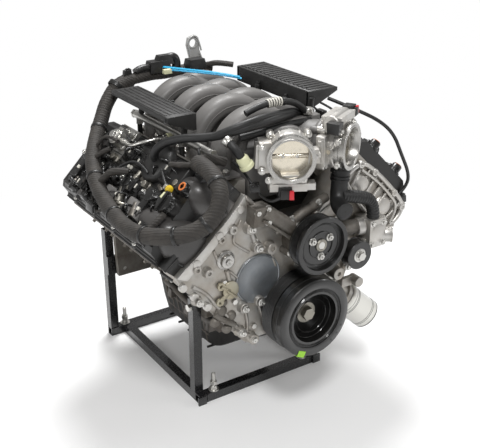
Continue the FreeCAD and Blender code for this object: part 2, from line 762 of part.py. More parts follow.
def seals_and_gaskets():
    sheets = [rear_main_seal()]
    for side in SIDES.values():
        blank = box(-S.bank_half_width * side, S.bank_half_width * side, -S.block_length,
                    head_rear(side), S.deck_height, S.deck_height + S.gasket, "gasket")
        holes = [rod("+Z", S.bore_radius, S.gasket, y=cylinder_y(side, number),
                     z=S.deck_height) for number in range(4)]
        if side < 0:
            holes.append(dipstick_bore(S.deck_height - 1, S.deck_height + S.gasket + 1))
        sheets.append(lean(cut(blank, *holes), side))
    node("seals_and_gaskets", group(*sheets))


def solenoid_y():
    return -(S.block_length + S.cover_front - 13)


def cam_cover(label, side):
    margin = S.cover_margin
    rear = head_rear(side)
    front = -(S.block_length + S.cover_front)
    inner_x = -(S.head_inboard - margin)
    outer_x = S.head_outboard
    body = fresh("PartDesign::Body", label + "_shell")
    section = [(inner_x * side, S.head_top), (outer_x * side, S.head_top),
               (outer_x * side, S.head_top + S.cover_flange),
               ((outer_x - 8) * side, S.head_top + S.cover_flange),
               ((outer_x - 14) * side, S.cover_top - 8), ((outer_x - 26) * side, S.cover_top),
               ((inner_x + 20) * side, S.cover_top), ((inner_x + 6) * side, S.cover_top - 14)]
    shell = pad(body, "XZ_Plane", section, -front + rear)
    put(body, 0, rear, 0)
    hollow = box((inner_x + 20) * side, (outer_x - 20) * side, front + S.cover_wall,
                 rear - S.cover_wall, S.head_top - 1, S.cover_top - 12, "hollow")
    wells = []
    bores = []
    for number in range(4):
        y = cylinder_y(side, number)
        wells.append(rod("+Z", S.plug_well_radius + S.cover_wall,
                         S.cover_top - S.head_top, y=y, z=S.head_top, name="well_tube"))
        bores.append(rod("+Z", S.plug_well_radius, S.cover_top - S.head_top + 2,
                         y=y, z=S.head_top - 1, name="well"))
    shell_cut = cut(body, hollow)
    extra = []
    for across in (S.cam_spread, -S.cam_spread):
        bores.append(rod("+Z", S.solenoid_radius + S.bolt_fit, 30, x=across * side,
                         y=solenoid_y(), z=S.cover_top - 20, name="solenoid_bore"))
    if side < 0:
        bores.append(dipstick_bore(S.head_top - 1, S.cover_top + 1,
                                   S.dipstick_radius + 3.1))
        x = -S.filler_across * side
        extra.append(rod("+Z", S.filler_radius, S.filler_rise, x=x, y=-S.filler_from_rear,
                         z=S.cover_top, name="filler_neck"))
        bores.append(rod("+Z", S.filler_radius - S.cover_wall, S.filler_rise + 20, x=x,
                         y=-S.filler_from_rear, z=S.cover_top - 19, name="filler_bore"))
    node(label, lean(cut(fuse(shell_cut, *wells, *extra), *bores), side))


def camshaft(label, side, across):
    """One camshaft with its lobes, and its sprocket and phaser in front."""
    front = -(S.block_length + S.sprocket_start)
    pieces = [rod("-Y", S.cam_radius, -front - 30, y=-30)]
    for number in range(4):
        y = cylinder_y(side, number)
        for place in (-18, 18):
            turn = TURN(ABOUT_Y, 90 * number + 200)
            way = turn.multVec(VEC(0, 0, 1))
            pieces.append(rod("+Y", S.cam_base_radius, S.cam_lobe_width,
                              x=S.cam_lift * way.x, y=y + place - S.cam_lobe_width / 2,
                              z=S.cam_lift * way.z, name="lobe"))
    shaft = fuse(*pieces)
    reach = S.sprocket_width + S.phaser_width
    planes = 1 if side > 0 else 2
    wheel = fuse(rod("-Y", S.cam_sprocket_radius, S.sprocket_width * planes, y=front),
                 rod("-Y", S.cam_sprocket_radius - 5, reach, y=front),
                 rod("-Y", 12, reach + 5, y=front))
    both = group(shaft, wheel)
    spot = bank_point(side, S.cam_height, across)
    put(both, spot[0], 0, spot[1])
    node(label, both)


def crank_sprocket():
    start = -(S.block_length + S.sprocket_start)
    wheel = rod("-Y", S.crank_sprocket_radius, S.sprocket_width * 2, y=start)
    collar = rod("-Y", S.damper_hub_radius - 6, S.hub_start - S.block_length
                 - S.sprocket_start, y=start)
    node("crank_sprocket", cut(fuse(wheel, collar),
                               rod("-Y", S.nose_radius, 100, y=start + 10)))


def chain_loop(centres, radii, y):
    """A closed band tangent round circles listed anticlockwise as seen from the front."""
    count = len(centres)
    outer = []
    for extra in (S.chain_gap.value, S.chain_gap.value + S.chain_thickness.value):
        edges = []
        joins = []
        for index in range(count):
            here, there = centres[index], centres[(index + 1) % count]
            first, second = radii[index] + extra, radii[(index + 1) % count] + extra
            gap = math.hypot(there[0] - here[0], there[1] - here[1])
            heading = math.atan2(there[1] - here[1], there[0] - here[0])
            tilt = heading - math.pi / 2 + math.asin((second - first) / gap) * -1
            way = (math.cos(tilt), math.sin(tilt))
            joins.append((VEC(here[0] + first * way[0], y, here[1] + first * way[1]),
                          VEC(there[0] + second * way[0], y, there[1] + second * way[1]),
                          tilt))
        for index in range(count):
            start, end, _ = joins[index]
            edges.append(Part.LineSegment(start, end).toShape())
            radius = radii[(index + 1) % count] + extra
            centre = centres[(index + 1) % count]
            first = joins[index][2]
            last = joins[(index + 1) % count][2]
            sweep = (last - first) % (2 * math.pi)
            half = first + sweep / 2
            middle = VEC(centre[0] + radius * math.cos(half), y,
                         centre[1] + radius * math.sin(half))
            edges.append(Part.Arc(end, middle, joins[(index + 1) % count][0]).toShape())
        outer.append(Part.Face(Part.Wire(edges)))
    band = outer[1].cut(outer[0])
    return band.extrude(VEC(0, -S.chain_width.value, 0))


def timing_chains():
    """One chain to each bank's outer camshaft sprockets, and round the crank sprocket."""
    loops = []
    cam = S.cam_sprocket_radius.value
    crank = S.crank_sprocket_radius.value
    for side in SIDES.values():
        start = S.block_length.value + S.sprocket_start.value + 1.5
        inner = bank_point(side, S.cam_height, -S.cam_spread)
        outer = bank_point(side, S.cam_height, S.cam_spread)
        circles = [((inner[0].value, inner[1].value), cam),
                   ((outer[0].value, outer[1].value), cam)]
        if side > 0:
            circles.append(((0.0, 0.0), crank))
            circles = [circles[2], circles[1], circles[0]]
        else:
            start += S.sprocket_width.value
            circles = [((0.0, 0.0), crank), circles[0], circles[1]]
        loops.append(chain_loop([item[0] for item in circles],
                                [item[1] for item in circles], -start))
    node("timing_chains", made(Part.makeCompound(loops), "chains"))


# ---------------------------------------------------------------- front of the engine

def timing_section(shrink):
    """Half the timing cover's outline down the +X side, drawn in by shrink."""
    top_out = bank_point(1, S.head_top - shrink, S.head_outboard - 2 - shrink)
    low_out = bank_point(1, S.head_top - 82 + shrink, S.head_outboard + 8 - shrink)
    top_in = bank_point(1, S.head_top - shrink, -(S.head_inboard - shrink))
    low_in = bank_point(1, S.head_top - 62, -(S.head_inboard + 2 - shrink))
    low = S.timing_low_half - shrink
    return [(low, -S.skirt_depth + shrink), (low + 12, -30 + shrink / 2), (150, 52 + shrink),
            low_out, top_out, top_in, low_in, (60 - shrink / 2, 206 - shrink)]


def timing_cover():
    body = fresh("PartDesign::Body", "timing_casting")
    pad(body, "XZ_Plane", mirrored(timing_section(Size.of(0))), S.timing_depth)
    put(body, 0, -S.block_length, 0)
    inside = fresh("PartDesign::Body", "timing_inside")
    pad(inside, "XZ_Plane", mirrored(timing_section(S.cover_wall + 1)),
        S.timing_depth - S.cover_wall)
    put(inside, 0, -S.block_length, 0)
    front = -(S.block_length + S.timing_depth)
    lobes = []
    for side in SIDES.values():
        pieces = []
        for across in (S.cam_spread, -S.cam_spread):
            pieces.append(rod("-Y", S.cam_sprocket_radius + 4, S.lobe_depth,
                              x=across * side, y=front, z=S.cam_height))
        lobes.append(lean(fuse(*pieces), side))
    bosses = [rod("-Y", S.damper_hub_radius + 12, 4, y=front, name="seal_boss"),
              box(126, 164, front, front - 14, 9, 29, "boss_arm")]
    for x, z, radius, depth in ((-98, 55, 46, 5), (-181, 170, 13, 10), (-206, 92, 21, 7),
                                (106, 55, 12, 26), (164, 19, 12, 30),
                                (S.idler_side, S.idler_rise, 18, S.idler_boss)):
        bosses.append(rod("-Y", radius, depth, x=x, y=front, z=z, name="boss"))
    tools = [inside,
             rod("-Y", S.damper_hub_radius + S.seal_bore_gap, S.timing_depth + 6,
                 y=-S.block_length)]
    tools.append(rod("+Y", S.stud_radius, S.idler_boss, x=S.idler_side,
                     y=front - S.idler_boss, z=S.idler_rise, name="idler_thread"))
    posts = []
    for x, z in TIMING_BOLTS:
        posts.append(rod("-Y", S.bolt_radius + 5, S.timing_depth, x=x, y=-S.block_length,
                         z=z, name="bolt_post"))
        tools.append(rod("-Y", S.bolt_radius + S.bolt_fit, S.timing_depth + 1, x=x,
                         y=-S.block_length, z=z))
    hollow = cut(fuse(body, *lobes, *bosses), tools[0])
    node("timing_cover", cut(fuse(hollow, *posts), *tools[1:]))


def cover_bolts():
    """The timing cover's bolts, each a hexagon head on a shank in its own hole."""
    front = -(S.block_length + S.timing_depth)
    bolts = []
    for x, z in TIMING_BOLTS:
        head = hexagon("-Y", S.bolt_head_radius, S.bolt_head, x=x, y=front, z=z)
        shank = rod("+Y", S.bolt_radius, S.timing_depth + S.bolt_grip - 1, x=x, y=front,
                    z=z)
        bolts.append(fuse(head, shank))
    return bolts


def damper():
    front = S.damper_front
    back = front - S.damper_depth
    half = S.damper_rubber / 2
    joint = S.damper_joint_radius
    recess = S.damper_recess_radius
    bore = S.nose_radius
    hub = [(bore, S.hub_start), (S.damper_hub_radius, S.hub_start),
           (S.damper_hub_radius, front - 50), (recess + 4, front - 54), (recess + 4, back),
           (joint - half, back), (joint - half, front - 1), (recess, front - 1),
           (recess, front - 46), (bore, front - 38)]
    node("damper_hub", turned("hub_turned", hub))
    rubber = [(joint - half, back), (joint + half, back), (joint + half, front - 2),
              (joint - half, front - 2)]
    node("damper_rubber", turned("rubber_turned", rubber))
    outside = S.damper_radius
    ring = [(joint + half, back), (outside - 3, back)]
    for number in range(6):
        start = back + 3 + S.groove_pitch * number
        ring += [(outside - 3, start), (outside - 3 - S.groove_depth, start + 1.2),
                 (outside - 3 - S.groove_depth, start + 2.2), (outside - 3, start + 3.3)]
    ring += [(outside - 3, back + 27), (outside - 8, back + 29), (outside - 8, back + 36),
             (outside - 1, back + 38), (outside - 1, back + 52), (outside - 4, back + 54),
             (outside, back + 56), (outside, front - 3), (outside - 3, front),
             (joint + half, front)]
    node("damper_ring", turned("ring_turned", ring))
    bolt = fuse(rod("-Y", 24, 5, y=-(front - 38)),
                hexagon("-Y", 15, 12, y=-(front - 33)),
                rod("+Y", S.crank_bolt_radius, 44, y=-(front - 38)))
    node("crank_bolt", bolt)


def pulley(label, radius, width, front, side, rise, shaft, web):
    """A dished belt pulley: its web lies near the front of its rim."""
    lip = front - 2
    back = front - width
    profile = [(shaft, front - web - 6), (radius - 8, front - web - 6), (radius - 8, back),
               (radius - 1, back)]
    for number in range(6):
        start = back + 5 + S.groove_pitch * number
        profile += [(radius - 1, start), (radius - 1 - S.groove_depth, start + 1.2),
                    (radius - 1 - S.groove_depth, start + 2.2), (radius - 1, start + 3.3)]
    profile += [(radius - 1, back + 29), (radius + 3, back + 31), (radius + 3, lip),
                (radius, front), (radius - 7, front), (radius - 9, front - web),
                (shaft, front - web)]
    return node(label, turned(label + "_turned", profile, x=side, z=rise))


def water_pump():
    front = S.damper_front
    pulley("water_pump_pulley", S.pump_pulley_radius, S.pump_pulley_depth, front,
           S.pump_side, S.pump_rise, S.pump_shaft_radius, 10)
    cover_front = S.block_length + S.timing_depth
    x, z = S.pump_side, S.pump_rise
    web_back = front - 16
    shaft = rod("-Y", S.pump_shaft_radius, front - 6 - (cover_front + 10), x=x,
                y=-(cover_front + 10), z=z)
    flange = rod("-Y", 20, 6, x=x, y=-(web_back - 6), z=z, name="pulley_flange")
    wheel = rod("-Y", 36, 8, x=x, y=-(cover_front + 6), z=z, name="impeller")
    heads = []
    for turn in (60, 180, 300):
        angle = Size.of(turn)
        heads.append(hexagon("-Y", 7, 6, x=x + 26 * sine(angle), y=-(front - 10),
                             z=z + 26 * cosine(angle)))
    node("water_pump_shaft", group(fuse(shaft, flange, wheel), *heads))
    body_depth = 34
    volute = rod("-Y", S.pump_body_radius, body_depth, x=x, y=-cover_front, z=z)
    neck = rod("-Y", 24, web_back - 8 - cover_front, x=x, y=-cover_front, z=z)
    arms = []
    for turn in (20, 95, 170, 245, 320):
        angle = Size.of(turn)
        arms.append(rod("-Y", 9, body_depth - 6, x=x + 54 * sine(angle), y=-cover_front,
                        z=z + 54 * cosine(angle), name="pump_ear"))
    duct_y = -(cover_front + 19)
    duct = rod("+X", 17, S.housing_side - x, x=x, y=duct_y, z=z - 8, name="outlet_duct")
    crossover = rod(TURN(VEC(0, 0, 1), VEC(-0.8, 0, 0.6)), 18, 126, x=x - 16, y=duct_y,
                    z=z + 12, name="crossover")
    solid = fuse(volute, neck, duct, crossover, *arms)
    hollow = [rod("-Y", 40, 14.5, x=x, y=-(cover_front + 3), z=z),
              rod("-Y", S.pump_shaft_radius + S.bearing_gap, 80, x=x, y=-cover_front, z=z),
              rod("+X", 13, S.housing_side - x + 1, x=x, y=duct_y, z=z - 8)]
    node("water_pump_body", cut(solid, *hollow))


def idler():
    front = S.damper_front - 10
    cover_front = S.block_length + S.timing_depth
    side, rise = S.idler_side, S.idler_rise
    profile = [(12, front - 4), (12, front - S.idler_width + 4), (17, front - S.idler_width),
               (S.idler_radius, front - S.idler_width), (S.idler_radius + 2, front - S.idler_width + 2),
               (S.idler_radius, front - S.idler_width + 4), (S.idler_radius, front - 4),
               (S.idler_radius + 2, front - 2), (S.idler_radius, front), (17, front)]
    node("idler_pulley", turned("idler_turned", profile, x=side, z=rise))
    sleeve = rod("-Y", 12 - S.bearing_gap, front - cover_front - S.idler_boss, x=side,
                 y=-(cover_front + S.idler_boss), z=rise)
    head = hexagon("-Y", 10, 8, x=side, y=-front, z=rise)
    shank = rod("+Y", S.stud_radius - S.bolt_fit, front - cover_front - 4, x=side,
                y=-front, z=rise)
    return fuse(sleeve, head, shank)


# ---------------------------------------------------------------- oil pan and filter

def oil_pan():
    wall = S.pan_wall
    top = -S.skirt_depth
    front = -(S.block_length + S.timing_depth - 4)
    half = S.pan_half_width
    deep_front = -(S.block_length - 130)
    rear = -S.bell_flange
    outer = fuse(box(-half, half, front, rear, top - 6, top, "pan_rail"),
                 box(-half + 14, half - 14, front + 4, rear - 4, -S.pan_front_depth, top - 6),
                 box(-half + 22, half - 22, deep_front, rear - 12, -S.pan_depth, top - 6),
                 rod("-Z", 13, 9, x=-30, y=-60, z=-S.pan_depth + 1, name="drain_boss"))
    inner = fuse(box(-half + 14 + wall, half - 14 - wall, front + 4 + wall,
                     rear - 4 - wall, -S.pan_front_depth + wall, top + 1),
                 box(-half + 22 + wall, half - 22 - wall, deep_front + wall,
                     rear - 12 - wall, -S.pan_depth + wall, top))
    node("oil_pan", cut(outer, inner))


def oil_pickup():
    """The pickup pipe under a main bearing cap, and its strainer near the pan's floor."""
    y = main_y(2)
    top = -(S.cap_depth + 0.3)
    points = [(40, y.value, top.value - 12), (40, y.value, -112), (28, y.value + 14, -140),
              (14, y.value + 26, -172)]
    pipe = tube(points, 9, 6.5, "oil_pickup")
    strainer = rod("-Z", 30, 12, x=12, y=y + 28, z=-168, name="strainer")
    flange = rod("-Z", 12, 20, x=40, y=y, z=top, name="pickup_flange")
    node("oil_pickup", fuse(made(pipe, "pickup_pipe"), strainer, flange))


FILTER_WAY = TURN(VEC(0, 0, 1), VEC(0.70, -0.25, -0.66))
FILTER_BASE = VEC(172, -474, -50)


def oil_filter():
    way = FILTER_WAY.multVec(VEC(0, 0, 1))
    base = FILTER_BASE
    side = S.skirt_half_width
    pad_block = box(side, side + 34, -440, -388, -52, 2, "adapter_pad")
    neck = rod(FILTER_WAY, 27, 40, x=base.x - way.x * 46, y=base.y - way.y * 46,
               z=base.z - way.z * 46, name="neck")
    seat = rod(FILTER_WAY, 33, 10, x=base.x - way.x * 12, y=base.y - way.y * 12,
               z=base.z - way.z * 12, name="filter_seat")
    arm = box(side + 1, side + 42, -476, -388, -40, -4, "adapter_arm")
    node("oil_filter_adapter", cut(fuse(pad_block, arm, neck, seat),
                                   box(0, side, -600, -300, -90, 60, "block_side"),
                                   box(-200, 150, -560, -S.block_length, -90, 60, "front")))
    seal = rod(FILTER_WAY, 31, 2, x=base.x - way.x * 2, y=base.y - way.y * 2,
               z=base.z - way.z * 2, name="filter_seal")
    radius = S.filter_radius
    length = S.filter_length
    can = turned("filter_can", [(0, 0), (radius - 2, 0), (radius, 2), (radius, 9),
                                (radius - 1.5, 11), (radius - 1.5, length - 6),
                                (radius - 9, length), (0, length)],
                 base.x, base.y, base.z, FILTER_WAY)
    node("oil_filter", group(can, seal))


# ---------------------------------------------------------------- inlet side

def runner_shape(side, y, radius):
    """One inlet runner: up from its head, over the top and down into the plenum."""
    foot = S.inlet_port_side.value * side
    low = S.inlet_face_height.value
    bend = S.runner_bend.value
    high = S.runner_bend_height.value
    centre = foot - bend * side
    rise = Part.LineSegment(VEC(foot, y, low), VEC(foot, y, high)).toShape()
    over = Part.Arc(VEC(foot, y, high), VEC(centre, y, high + bend),
                    VEC(centre - bend * side, y, high)).toShape()
    drop = Part.LineSegment(VEC(centre - bend * side, y, high),
                            VEC(centre - bend * side, y, high - 14)).toShape()
    wire = Part.Wire([rise, over, drop])
    ring = Part.Wire(Part.makeCircle(radius, VEC(foot, y, low), VEC(0, 0, 1)))
    return wire.makePipeShell([ring], True, False)


def throttle_mouth(side):
    spot = S.right_throttle_side if side < 0 else S.left_throttle_side
    yaw = S.throttle_yaw * side
    return spot, -S.throttle_front, S.throttle_rise, yaw


def inlet_manifold():
    wall = S.runner_wall
    half = S.plenum_half_width
    rear = -S.plenum_rear
    front = -(S.block_length + 22)
    plenum = box(-half, half, front + 20, rear, S.plenum_floor, S.plenum_top, "plenum")
    rise = S.throttle_rise
    nose = box(-54, 94, front, front + 46, rise - 58, rise + 48, "inlet_box")
    outside = [plenum, nose]
    inside = [box(-half + wall, half - wall, front + 20 + wall, rear - wall,
                  S.plenum_floor + wall, S.plenum_top - wall, "plenum_inside"),
              box(-54 + wall, 94 - wall, front + wall, front + 46 - wall,
                  rise - 58 + wall, rise + 48 - wall, "inlet_inside"),
              box(-48, 72, front + 10, front + 48, rise - 56, S.plenum_top - wall - 1,
                  "step_down")]
    for side in SIDES.values():
        spot, y, z, yaw = throttle_mouth(side)
        way = TURN(ABOUT_Z, yaw.value) * TURN_TO["+Y"]
        back = S.throttle_length
        x = spot - back * sine(yaw)
        start = y + back * cosine(yaw)
        outside.append(rod(way, S.throttle_radius + S.throttle_wall, 52, x=x, y=start, z=z,
                           name="inlet_neck"))
        inside.append(rod(way, S.throttle_radius, 64, x=x, y=start, z=z,
                          name="inlet_bore"))
        for number in range(4):
            run_y = cylinder_y(side, number).value
            radius = S.runner_radius.value
            outside.append(made(runner_shape(side, run_y, radius), "runner"))
            inside.append(made(runner_shape(side, run_y, radius - wall.value), "runner_in"))
        rail = box((S.inlet_port_side - 22) * side, (S.inlet_port_side + 20) * side,
                   -S.block_length + 12, -44, S.inlet_face_height,
                   S.inlet_face_height + 9, "joint_flange")
        outside.append(rail)
    node("inlet_manifold", cut(fuse(*outside), *inside))


MOTORS = []


def throttle(label, side):
    spot, y, z, yaw = throttle_mouth(side)
    radius = S.throttle_radius
    outer = radius + S.throttle_wall
    length = S.throttle_length
    body = [rod("+Y", outer, length), rod("+Y", outer + 4, 9), rod("+Y", outer + 3, 10,
                                                                  y=length - 10)]
    for angle in (45, 135, 225, 315):
        turn = Size.of(angle)
        body.append(rod("+Y", 8, 10, x=(outer + 6) * sine(turn), y=length - 10,
                        z=(outer + 6) * cosine(turn), name="flange_ear"))
    middle = length / 2
    body.append(rod("+X", 11, outer * 2 + 20, x=-outer - 10, y=middle))
    drop = 1 if side > 0 else -1
    body.append(box(-outer + 8, outer - 14, 14, length - 12, (outer - 6) * drop,
                    (outer + 8) * drop, "motor_seat"))
    tools = [rod("+Y", radius, length + 2, y=-1),
             rod("+Y", radius + S.duct_seat_step, S.duct_seat_depth + 1, y=-1,
                 name="duct_seat"),
             rod("+X", S.throttle_shaft_radius + S.bearing_gap, outer * 2 + 30,
                 x=-outer - 15, y=middle)]
    housing = cut(fuse(*body), *tools)
    put(housing, spot, y, z, TURN(ABOUT_Z, yaw.value))
    node("throttle_body_" + label, housing)
    motor = fuse(box(-outer + 4, outer - 12, 10, length - 8, (outer + 8) * drop,
                     (outer + 24) * drop, "motor_cover"),
                 box(outer - 12, outer + 6, 14, 38, (outer + 9) * drop,
                     (outer + 23) * drop, "motor_plug"))
    put(motor, spot, y, z, TURN(ABOUT_Z, yaw.value))
    MOTORS.append(motor)
    shaft = rod("+X", S.throttle_shaft_radius, outer * 2 + 16, x=-outer - 8, y=middle)
    disc = rod("+Y", radius - S.throttle_gap, 3, y=middle - 1.5)
    plate = fuse(shaft, disc)
    put(plate, spot, y, z, TURN(ABOUT_Z, yaw.value))
    node("throttle_plate_" + label, plate)


def trim_cover(label, inner, x1, rear, front, height, posts):
    """A slotted trim plate on two feet, with a deep skirt along its inner edge."""
    side = 1 if x1 > inner else -1
    x0 = min(inner, x1)
    deck = [box(inner, x1, front, rear, height - 12, height, "trim_plate"),
            box(inner, inner + S.trim_skirt_wall * side, front, rear,
                height - S.trim_skirt_depth, height, "trim_skirt")]
    for x, y, foot in posts:
        deck.append(rod("-Z", 7, height - 12 - foot, x=x, y=y, z=height - 12, name="foot"))
    tools = []
    width = abs(x1 - inner)
    for number in range(9):
        start = rear - 22 - (rear - front - 44) / 9 * number
        tools.append(box(x0 + 10, x0 + 10 + (width - 20), start - 9, start, height - 5,
                         height + 1, "slot"))
    node(label, cut(fuse(*deck), *tools))


# ---------------------------------------------------------------- what sits on the heads

def ignition_coils():
    """A coil on each plug well, its stem down to the plug, and the plugs themselves."""
    coils = []
    plugs = []
    base = S.deck_height + S.gasket
    stem = S.plug_well_radius - S.coil_fit
    for side in SIDES.values():
        for number in range(4):
            y = cylinder_y(side, number)
            head = box(-S.coil_width / 2, S.coil_width / 2, y - S.coil_length / 2,
                       y + S.coil_length / 2, S.cover_top, S.cover_top + S.coil_height)
            crown = rod("+Z", 13, 6, y=y, z=S.cover_top + S.coil_height)
            lug = box(-9, 9, y + S.coil_length / 2, y + S.coil_length / 2 + 9,
                      S.cover_top, S.cover_top + 9, "coil_lug")
            shaft = rod("+Z", stem, S.cover_top - base - 78, y=y, z=base + 78)
            coils.append(lean(fuse(head, crown, lug, shaft), side))
            plug = fuse(rod("+Z", S.plug_well_radius, 24, y=y, z=base + 8),
                        hexagon("+Z", 9, 12, y=y, z=base + 32),
                        rod("+Z", 5, 34, y=y, z=base + 44))
            plugs.append(lean(plug, side))
    node("ignition_coils", group(*coils))
    node("spark_plugs", group(*plugs))


def fuel_system():
    rails = []
    injectors = []
    for side in SIDES.values():
        rear = cylinder_y(side, 0) + 26
        length = S.bore_pitch * 3 + 52
        cups = []
        bores = []
        for number in range(4):
            y = cylinder_y(side, number)
            cups.append(rod("+Z", S.cup_radius, 18, x=S.rail_side * side, y=y,
                            z=S.rail_rise - 18))
            bores.append(rod("+Z", S.injector_radius + S.bolt_fit, 13,
                             x=S.rail_side * side, y=y, z=S.rail_rise - 19))
            injectors.append(rod("+Z", S.injector_radius,
                                 S.rail_rise - 6 - (S.inlet_face_height + 4),
                                 x=S.rail_side * side, y=y, z=S.inlet_face_height + 4,
                                 name="injector"))
        tube_body = rod("-Y", S.rail_radius, length, x=S.rail_side * side, y=rear, z=S.rail_rise)
        rails.append(cut(fuse(tube_body, *cups), *bores))
    node("fuel_injectors", group(*injectors))
    pump = lean(fuse(box(30, 104, -196, -148, S.cover_top, S.cover_top + 9, "pump_foot"),
                     rod("+Z", 19, 38, x=66, y=-172, z=S.cover_top),
                     hexagon("+Z", 14, 44, x=66, y=-172, z=S.cover_top),
                     rod("-Y", 7, 34, x=66, y=-172, z=S.cover_top + 24)), -1)
    node("fuel_pump", pump)
    start = bank_point(-1, S.cover_top.value + 24, -66)
    x, z = start[0].value, start[1].value
    far = -S.rail_side.value - S.rail_radius.value - 0.2
    points = [(x, -206, z), (x, -228, z), (x + 20, -254, z + 13),
              (far - 26, -262, S.rail_rise.value), (far, -262, S.rail_rise.value)]
    rails.append(made(tube(points, 4, 2.5, "fuel_pipe")))
    node("fuel_rails", group(*rails))


def cam_solenoids():
    """The four cam timing solenoids, standing in the front of the cam covers."""
    caps = []
    for side in SIDES.values():
        for across in (S.cam_spread, -S.cam_spread):
            x = across * side
            y = solenoid_y()
            caps.append(lean(fuse(
                rod("+Z", S.solenoid_radius, 20, x=x, y=y, z=S.cover_top - 8),
                box(x - 6, x + 6, y - 9, y + 16, S.cover_top, S.cover_top + 9)), side))
    node("cam_solenoids", group(*caps))


def filler_cap():
    x = S.filler_across
    y = -S.filler_from_rear
    top = S.cover_top + S.filler_rise
    grip = rod("+Z", S.filler_radius + 5, 15, x=x, y=y, z=top, name="cap_grip")
    neck = rod("-Z", S.filler_radius - S.cover_wall - 0.2, 12, x=x, y=y, z=top)
    bar = box(x - S.filler_radius, x + S.filler_radius, y - 4, y + 4, top + 15, top + 21)
    node("oil_filler_cap", lean(fuse(grip, neck, bar), -1))


def dipstick():
    """A guide tube from the right head up through its cover, and the stick inside it."""
    x = S.dipstick_across
    y = -(S.block_length - S.dipstick_from_front)
    high = S.dipstick_high
    guide = rod("+Z", S.dipstick_radius + 3, high - S.head_top, x=x, y=y, z=S.head_top)
    node("dipstick_tube", lean(cut(guide, dipstick_bore(S.head_top - 1, high + 1)), -1))
    stick = fuse(rod("+Z", S.dipstick_radius, high - S.dipstick_low, x=x, y=y,
                     z=S.dipstick_low),
                 rod("+Z", 7, 5, x=x, y=y, z=high, name="handle_foot"),
                 rod("+Y", 7, 5, x=x, y=y - 2.5, z=high + 11, name="handle"))
    node("dipstick", lean(stick, -1))


def coolant_parts():
    main = [(75, -578, 230), (79, -552, 233), (90, -536, 248), (97, -530, 278),
            (99, -529, 308)]
    branch = [(90, -545, 252), (130, -549, 244), (184, -546, 222), (184, -546, 178.2)]
    pipes = fuse(made(tube(main, 18, 0, "coolant_elbow"), "elbow"),
                 made(tube(branch, 14, 0, "coolant_branch"), "branch"))
    bores = fuse(made(tube(main, 14.5, 0, "elbow_bore"), "elbow_bore"),
                 made(tube(branch, 11, 0, "branch_bore"), "branch_bore"))
    node("coolant_elbow", cut(pipes, bores))
    front = -(S.block_length + S.timing_depth)
    side = S.housing_side
    way = TURN(VEC(0, 0, 1), VEC(0.8, -0.6, 0))
    housing = [box(side, side + 42, front, front - 54, 114, 178, "housing_body"),
               rod("-Y", 20, 50, x=side + 22, y=front, z=148),
               rod(way, 19, 44, x=side + 34, y=front - 24, z=132, name="outlet_stub")]
    tools = [rod(way, 15.5, 42, x=side + 36, y=front - 25.5, z=132),
             box(side + 5, side + 38, front - 6, front - 48, 117, 172, "housing_inside"),
             rod("+X", 13, 10, x=side - 1, y=front - 19, z=S.pump_rise - 8),
             rod("-Z", 11, 10, x=184, y=-546, z=179)]
    node("thermostat_housing", cut(fuse(*housing), *tools))


def lifting_bracket():
    """The lifting eye at the rear, bolted to the back of the left head."""
    body = fresh("PartDesign::Body", "bracket_plate")
    points = [(112, 268), (146, 300), (96, 380), (62, 470), (60, 500), (48, 508),
              (30, 502), (26, 484), (46, 400), (92, 300)]
    pad(body, "XZ_Plane", points, S.plate)
    put(body, 0, -S.head_rear + S.plate, 0)
    node("lifting_bracket", cut(body, rod("-Y", 10, 40, x=44, y=10, z=488)))


# ---------------------------------------------------------------- hoses and wiring

REAR_LOOM = [(84, -23.6, 426), (24, -23.2, 431), (-38, -23.8, 427), (-96, -26, 431),
             (-140, -31, 427)]
MAIN_LOOM = [(-140, -31, 427), (-175.2, -35, 423.8), (-212, -44, 388), (-240, -66, 349),
             (-274, -104, 317), (-305, -152, 292), (-330, -228, 261), (-342, -322, 237),
             (-353, -420, 236), (-344, -492, 245), (-303, -548, 257), (-262, -570, 274),
             (-234, -572, 303), (-222, -566, 334), (-217, -534, 356), (-213, -494, 362),
             (-212, -462, 361)]
VENT_HOSE = [(-226.1, -330, 320.1), (-244, -330, 338), (-240, -346, 370),
             (-214, -388, 393), (-172, -450, 403), (-128, -482, 420), (-66, -488, 427),
             (-6, -472, 425.4), (36, -446, 422.2)]
FRONT_HOSE = [(-155, -477.1, 404.5), (-152, -494, 396), (-144, -504, 382), (-134, -507, 366)]
BREATHER_HOSE = [(-92, -452, 440), (-62, -454, 452), (-14, -457, 456), (34, -461, 446),
                 (60, -460, 418.3)]
LEFT_LEAD = [(146, -418, 428), (186, -462, 408), (236, -492, 380), (274, -499, 344),
             (301, -499, 292), (334, -494, 238), (338, -488, 204), (316, -485.3, 186)]

# bank, across it, along the engine, width, depth and height of each plug on a cam cover
PLUGS = (
    (-1, 0, -132, 26, 18, 14), (-1, 0, -232, 24, 18, 16), (-1, 0, -332, 26, 18, 14),
    (-1, 62, -135, 26, 30, 16), (-1, 66, -236, 24, 34, 14), (-1, 60, -338, 28, 26, 18),
    (-1, 58, -428, 22, 26, 14), (-1, -60, -100, 24, 30, 16), (-1, -56, -240, 26, 28, 18),
    (-1, -66, -390, 26, 30, 16), (-1, -48, -284, 22, 26, 14), (1, 0, -110, 24, 18, 14),
    (1, 0, -210, 24, 18, 16), (1, 0, -310, 24, 18, 14), (1, 62, -112, 24, 30, 16),
    (1, 60, -214, 26, 28, 16), (1, 62, -316, 24, 30, 18), (1, -60, -200, 26, 30, 16),
)


